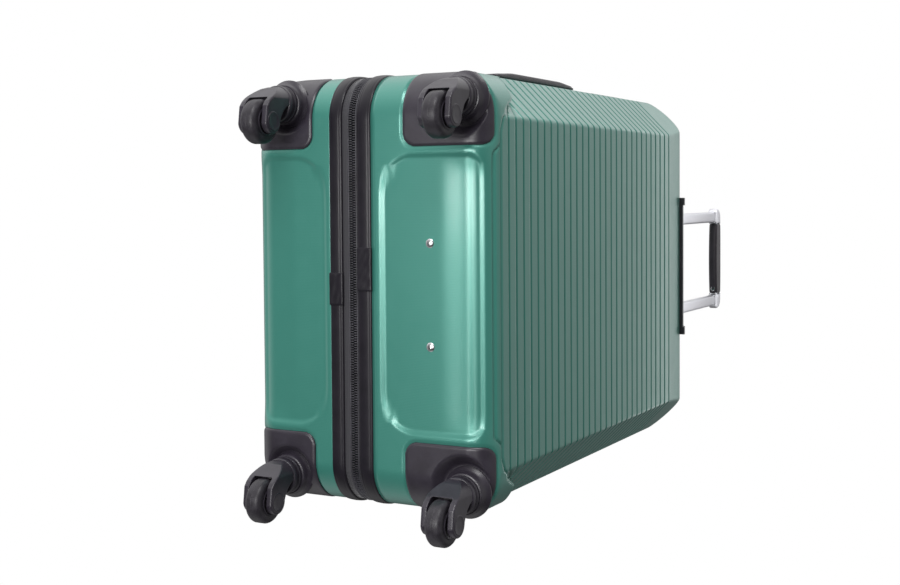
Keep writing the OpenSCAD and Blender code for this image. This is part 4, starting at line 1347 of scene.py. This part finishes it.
def make_straps():
    low, high = cad("packing_straps")
    z = (low[2] + high[2]) / 2
    width = 25.0
    web_y = high[1] - 0.75
    for side, letter in ((1, "right"), (-1, "left")):
        route = [(side * x, y) for x, y in ((high[0], web_y), (60, web_y), (38, web_y), (31, web_y - 1.4),
                                            (26, web_y - 3.3), (22.5, web_y - 2.6), (20.5, web_y - 1.0),
                                            (18.5, web_y - 0.2))]
        path = curve_through(route)
        strap = mesh_piece("strap_" + letter, *ribbon(path, z, width, 1.3), "packing_straps", 50.0)
        patch = rounded_box((min(side * 170, side * 199), low[1] + 2.0, z - 13.4),
                            (max(side * 170, side * 199), low[1] + 3.4, z + 13.4), 1.5, 0.4, 1)
        rows = np.array([(side * (172.5 + 1.2 * i), z + (-10.5 + k * 21.0), 0.0, 1.0)
                         for i in range(21) for k in (0, 1)])
        threads = along_path(pill(0.9, low[1] + 1.6, low[1] + 2.3, -0.25, 0.25, along_y=False), rows)
        sewn = mesh_piece("strap_anchor_" + letter, *joined([patch, threads]), "packing_straps", 50.0,
                          stands_for=False)
    front, back = low[1] + 0.1, high[1] - 0.2
    halves = ((1, 33.0), (-1, 18.0))
    parts = [buckle_half(side, low[2], high[2], front, back, length) for side, length in halves]
    for edge in (-1, 1):
        prong = [(-12, 0), (-7, 0), (-2.5, 1.6), (1.5, 0.4), (4.5, -2.5), (4.5, -4.5), (-12, -4.5)]
        outline = np.array(prong) + (-0.5, 16.0)
        outline = outline * (1, edge) + (0, z)
        parts.append(slab(outline, front + 0.6, back - 0.6, 0.6, axis=1))
    parts.append(rounded_box((-12, front + 1.2, z - 3), (0, back - 1.0, z + 3), 1, 0.4, 1))
    clasp = mesh_piece("strap_clasp", *joined(parts), "packing_straps", 35.0, stands_for=False)
    clasp.data.materials[0] = MATERIALS["black_plastic"]


def make_hinge_tape():
    """One strip of tape across both halves at the hinge, attached to neither."""
    low, high = cad("hinge_tape_front")
    back_high = cad("hinge_tape_back")[1]
    rows = []
    for z in np.linspace(low[2], high[2], 101):
        outer = [(y, 0.12 * math.cos((y - low[1]) * 2.4)) for y in np.linspace(low[1], back_high[1], 37)]
        ring = [(low[0] - h, y, z) for y, h in outer] + [(low[0] + 1.3, y, z) for y, _ in outer[::-1]]
        rows.append(ring)
    points, faces = loft(rows)
    piece = mesh_piece("hinge_tape", points, faces, "hinge_tape_back", 60.0, stands_for=False)
    piece.parent = None
    if "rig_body" in piece:
        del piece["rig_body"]
    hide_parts("hinge_tape_back", "hinge_tape_front")
    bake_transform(piece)


# ---------- camera, lights and floor ----------

EYE = Vector((0.0983, 0.6990, -1.0568))
LOOK = Vector((-0.0400, -0.4723, 0.8805))
RIGHT = Vector((-0.0070, 0.8814, 0.4724))


def make_camera():
    camera = bpy.data.cameras.new("camera")
    holder = bpy.data.objects.new("camera", camera)
    bpy.context.scene.collection.objects.link(holder)
    back = -LOOK.normalized()
    up = back.cross(RIGHT).normalized()
    right = up.cross(back).normalized()
    turned = Matrix((right, up, back)).transposed().to_4x4()
    turned.translation = EYE
    holder.matrix_world = turned
    camera.sensor_width = 36.0
    camera.lens = 52.68
    camera.shift_y = -0.05
    camera.clip_start = 0.02
    camera.clip_end = 50.0
    bpy.context.scene.camera = holder


def area_light(name, place, target, size, power, tint=(1.0, 1.0, 1.0)):
    light = bpy.data.lights.new(name, "AREA")
    light.shape = "RECTANGLE"
    light.size, light.size_y = size
    light.energy = power
    light.color = tint
    holder = bpy.data.objects.new(name, light)
    bpy.context.scene.collection.objects.link(holder)
    direction = Vector(target) - Vector(place)
    holder.visible_camera = False
    holder.matrix_world = Matrix.Translation(place) @ direction.to_track_quat("-Z", "Y").to_matrix().to_4x4()


# Soft lights far away on every side: direction, and how bright it is.
SOFT_LIGHTS = {
    (-1, 0, 0): 0.80, (0, -1, 0): 0.60, (0, 0, 1): 0.20, (0, 1, 0): 0.45, (0, 1, 1): 0.48,
    (1, -1, 0): 1.68, (1, 0, 1): 1.53, (1, 1, 0): 0.43, (1, 0, -1): 0.95, (-1, -1, 0): 0.40,
}
SOFTNESS = 6.0


def make_world():
    """A white studio to look at, lit by broad soft lights."""
    world = bpy.data.worlds.new("white_studio")
    world.use_nodes = True
    tree = world.node_tree
    direction = tree.nodes.new("ShaderNodeTexCoord").outputs["Generated"]
    total = None
    for towards, bright in SOFT_LIGHTS.items():
        facing = tree.nodes.new("ShaderNodeVectorMath")
        facing.operation = "DOT_PRODUCT"
        tree.links.new(direction, facing.inputs[0])
        facing.inputs[1].default_value = Vector(towards).normalized()
        level = facing.outputs["Value"]
        for operation, amount in (("MAXIMUM", 0.0), ("POWER", SOFTNESS), ("MULTIPLY", bright)):
            step = tree.nodes.new("ShaderNodeMath")
            step.operation = operation
            tree.links.new(level, step.inputs[0])
            step.inputs[1].default_value = amount
            level = step.outputs[0]
        if total is not None:
            both = tree.nodes.new("ShaderNodeMath")
            tree.links.new(total, both.inputs[0])
            tree.links.new(level, both.inputs[1])
            level = both.outputs[0]
        total = level
    seen = tree.nodes.new("ShaderNodeLightPath").outputs["Is Camera Ray"]
    brightest = tree.nodes.new("ShaderNodeMix")
    tree.links.new(seen, brightest.inputs[0])
    tree.links.new(total, brightest.inputs[2])
    brightest.inputs[3].default_value = 1.0
    tree.links.new(brightest.outputs[0], tree.nodes["Background"].inputs["Strength"])
    tree.nodes["Background"].inputs["Color"].default_value = (1.0, 1.0, 1.0, 1.0)
    bpy.context.scene.world = world
    bpy.context.scene.view_settings.view_transform = "Standard"


def make_lights():
    area_light("edge_strip", (0.1, 0.1, -1.5), (0.0, 0.1, 0.07), (1.2, 0.10), 12.5)
    area_light("foot_strip", (0.1, -0.25, -1.7), (0.0, 0.1, 0.07), (1.7, 0.2), 7.0)
    area_light("face_strip", (0.1, 0.3, -1.7), (0.0, 0.1, 0.07), (1.7, 0.2), 4.3)
    area_light("side_softbox", (1.6, 0.4, -0.8), (0.2, 0.0, 0.07), (1.0, 0.6), 18.5)
    area_light("top_glow", (0.0, 0.245, 0.98), (0.0, 0.13, 0.64), (0.8, 0.06), 0.3)


def make_floor():
    """A pale floor that shows from above and lets a view from below through."""
    m = Nodes("pale_floor")
    m.link(m.mix(m.noise(2.0, 3.0), colour(248, 248, 248), colour(253, 253, 253)), "Base Color")
    m.link(m.bump(m.noise(300.0, 3.0), 0.05, 0.2), "Normal")
    m.set(Roughness=0.6)
    side = m.add("ShaderNodeNewGeometry").outputs["Backfacing"]
    clear = m.add("ShaderNodeBsdfTransparent")
    both = m.add("ShaderNodeMixShader", {0: side, 1: m.shader.outputs[0], 2: clear.outputs[0]})
    m.tree.links.new(both.outputs[0], m.tree.nodes["Material Output"].inputs["Surface"])
    half = 3.0
    mesh = bpy.data.meshes.new("floor")
    corners = [(-half, -half, 0), (half, -half, 0), (half, half, 0), (-half, half, 0)]
    mesh.from_pydata(corners, [], [(0, 1, 2, 3)])
    floor = bpy.data.objects.new("floor", mesh)
    bpy.context.scene.collection.objects.link(floor)
    mesh.materials.append(m.material)
    floor.visible_shadow = False
    floor.visible_diffuse = False
    floor.visible_glossy = False


def finish_cad_nodes():
    """Gives every CAD node that still shows its slot's finish."""
    for name, node in frame["nodes"].items():
        node.data.materials.clear()
        node.data.materials.append(MATERIALS[SLOTS[name]])


make_camera()
make_world()
make_lights()
make_floor()
finish_cad_nodes()

back_half = make_shell("back_half", "back_shell", BACK_LOW[1], 19.4, 44.0, True)
cut_back_openings(back_half)
make_shell("lid_half", "front_shell", -LID_HIGH[1], 48.0, 62.5, False)
for side, letter in ((1, "r"), (-1, "l")):
    make_housing("caster_housing_b" + letter, 44.0, "kingpins_back", 38.0, side, True)
    make_housing("caster_housing_f" + letter, 62.5, "kingpins_front", 31.0, side, False)

make_trims()
make_tapes()
make_stitches("back_stitches", "back_zip_tape", cad("back_zip_tape")[1][1] - 1.0)
make_stitches("lid_stitches", "front_zip_tape", cad("front_zip_tape")[0][1] + 1.2)
make_teeth()
make_trim_clips()
make_casters()
make_rivets()
make_feet()
make_trolley()
make_handles()
make_lock()
make_sliders()
make_linings()
make_straps()
make_hinge_tape()
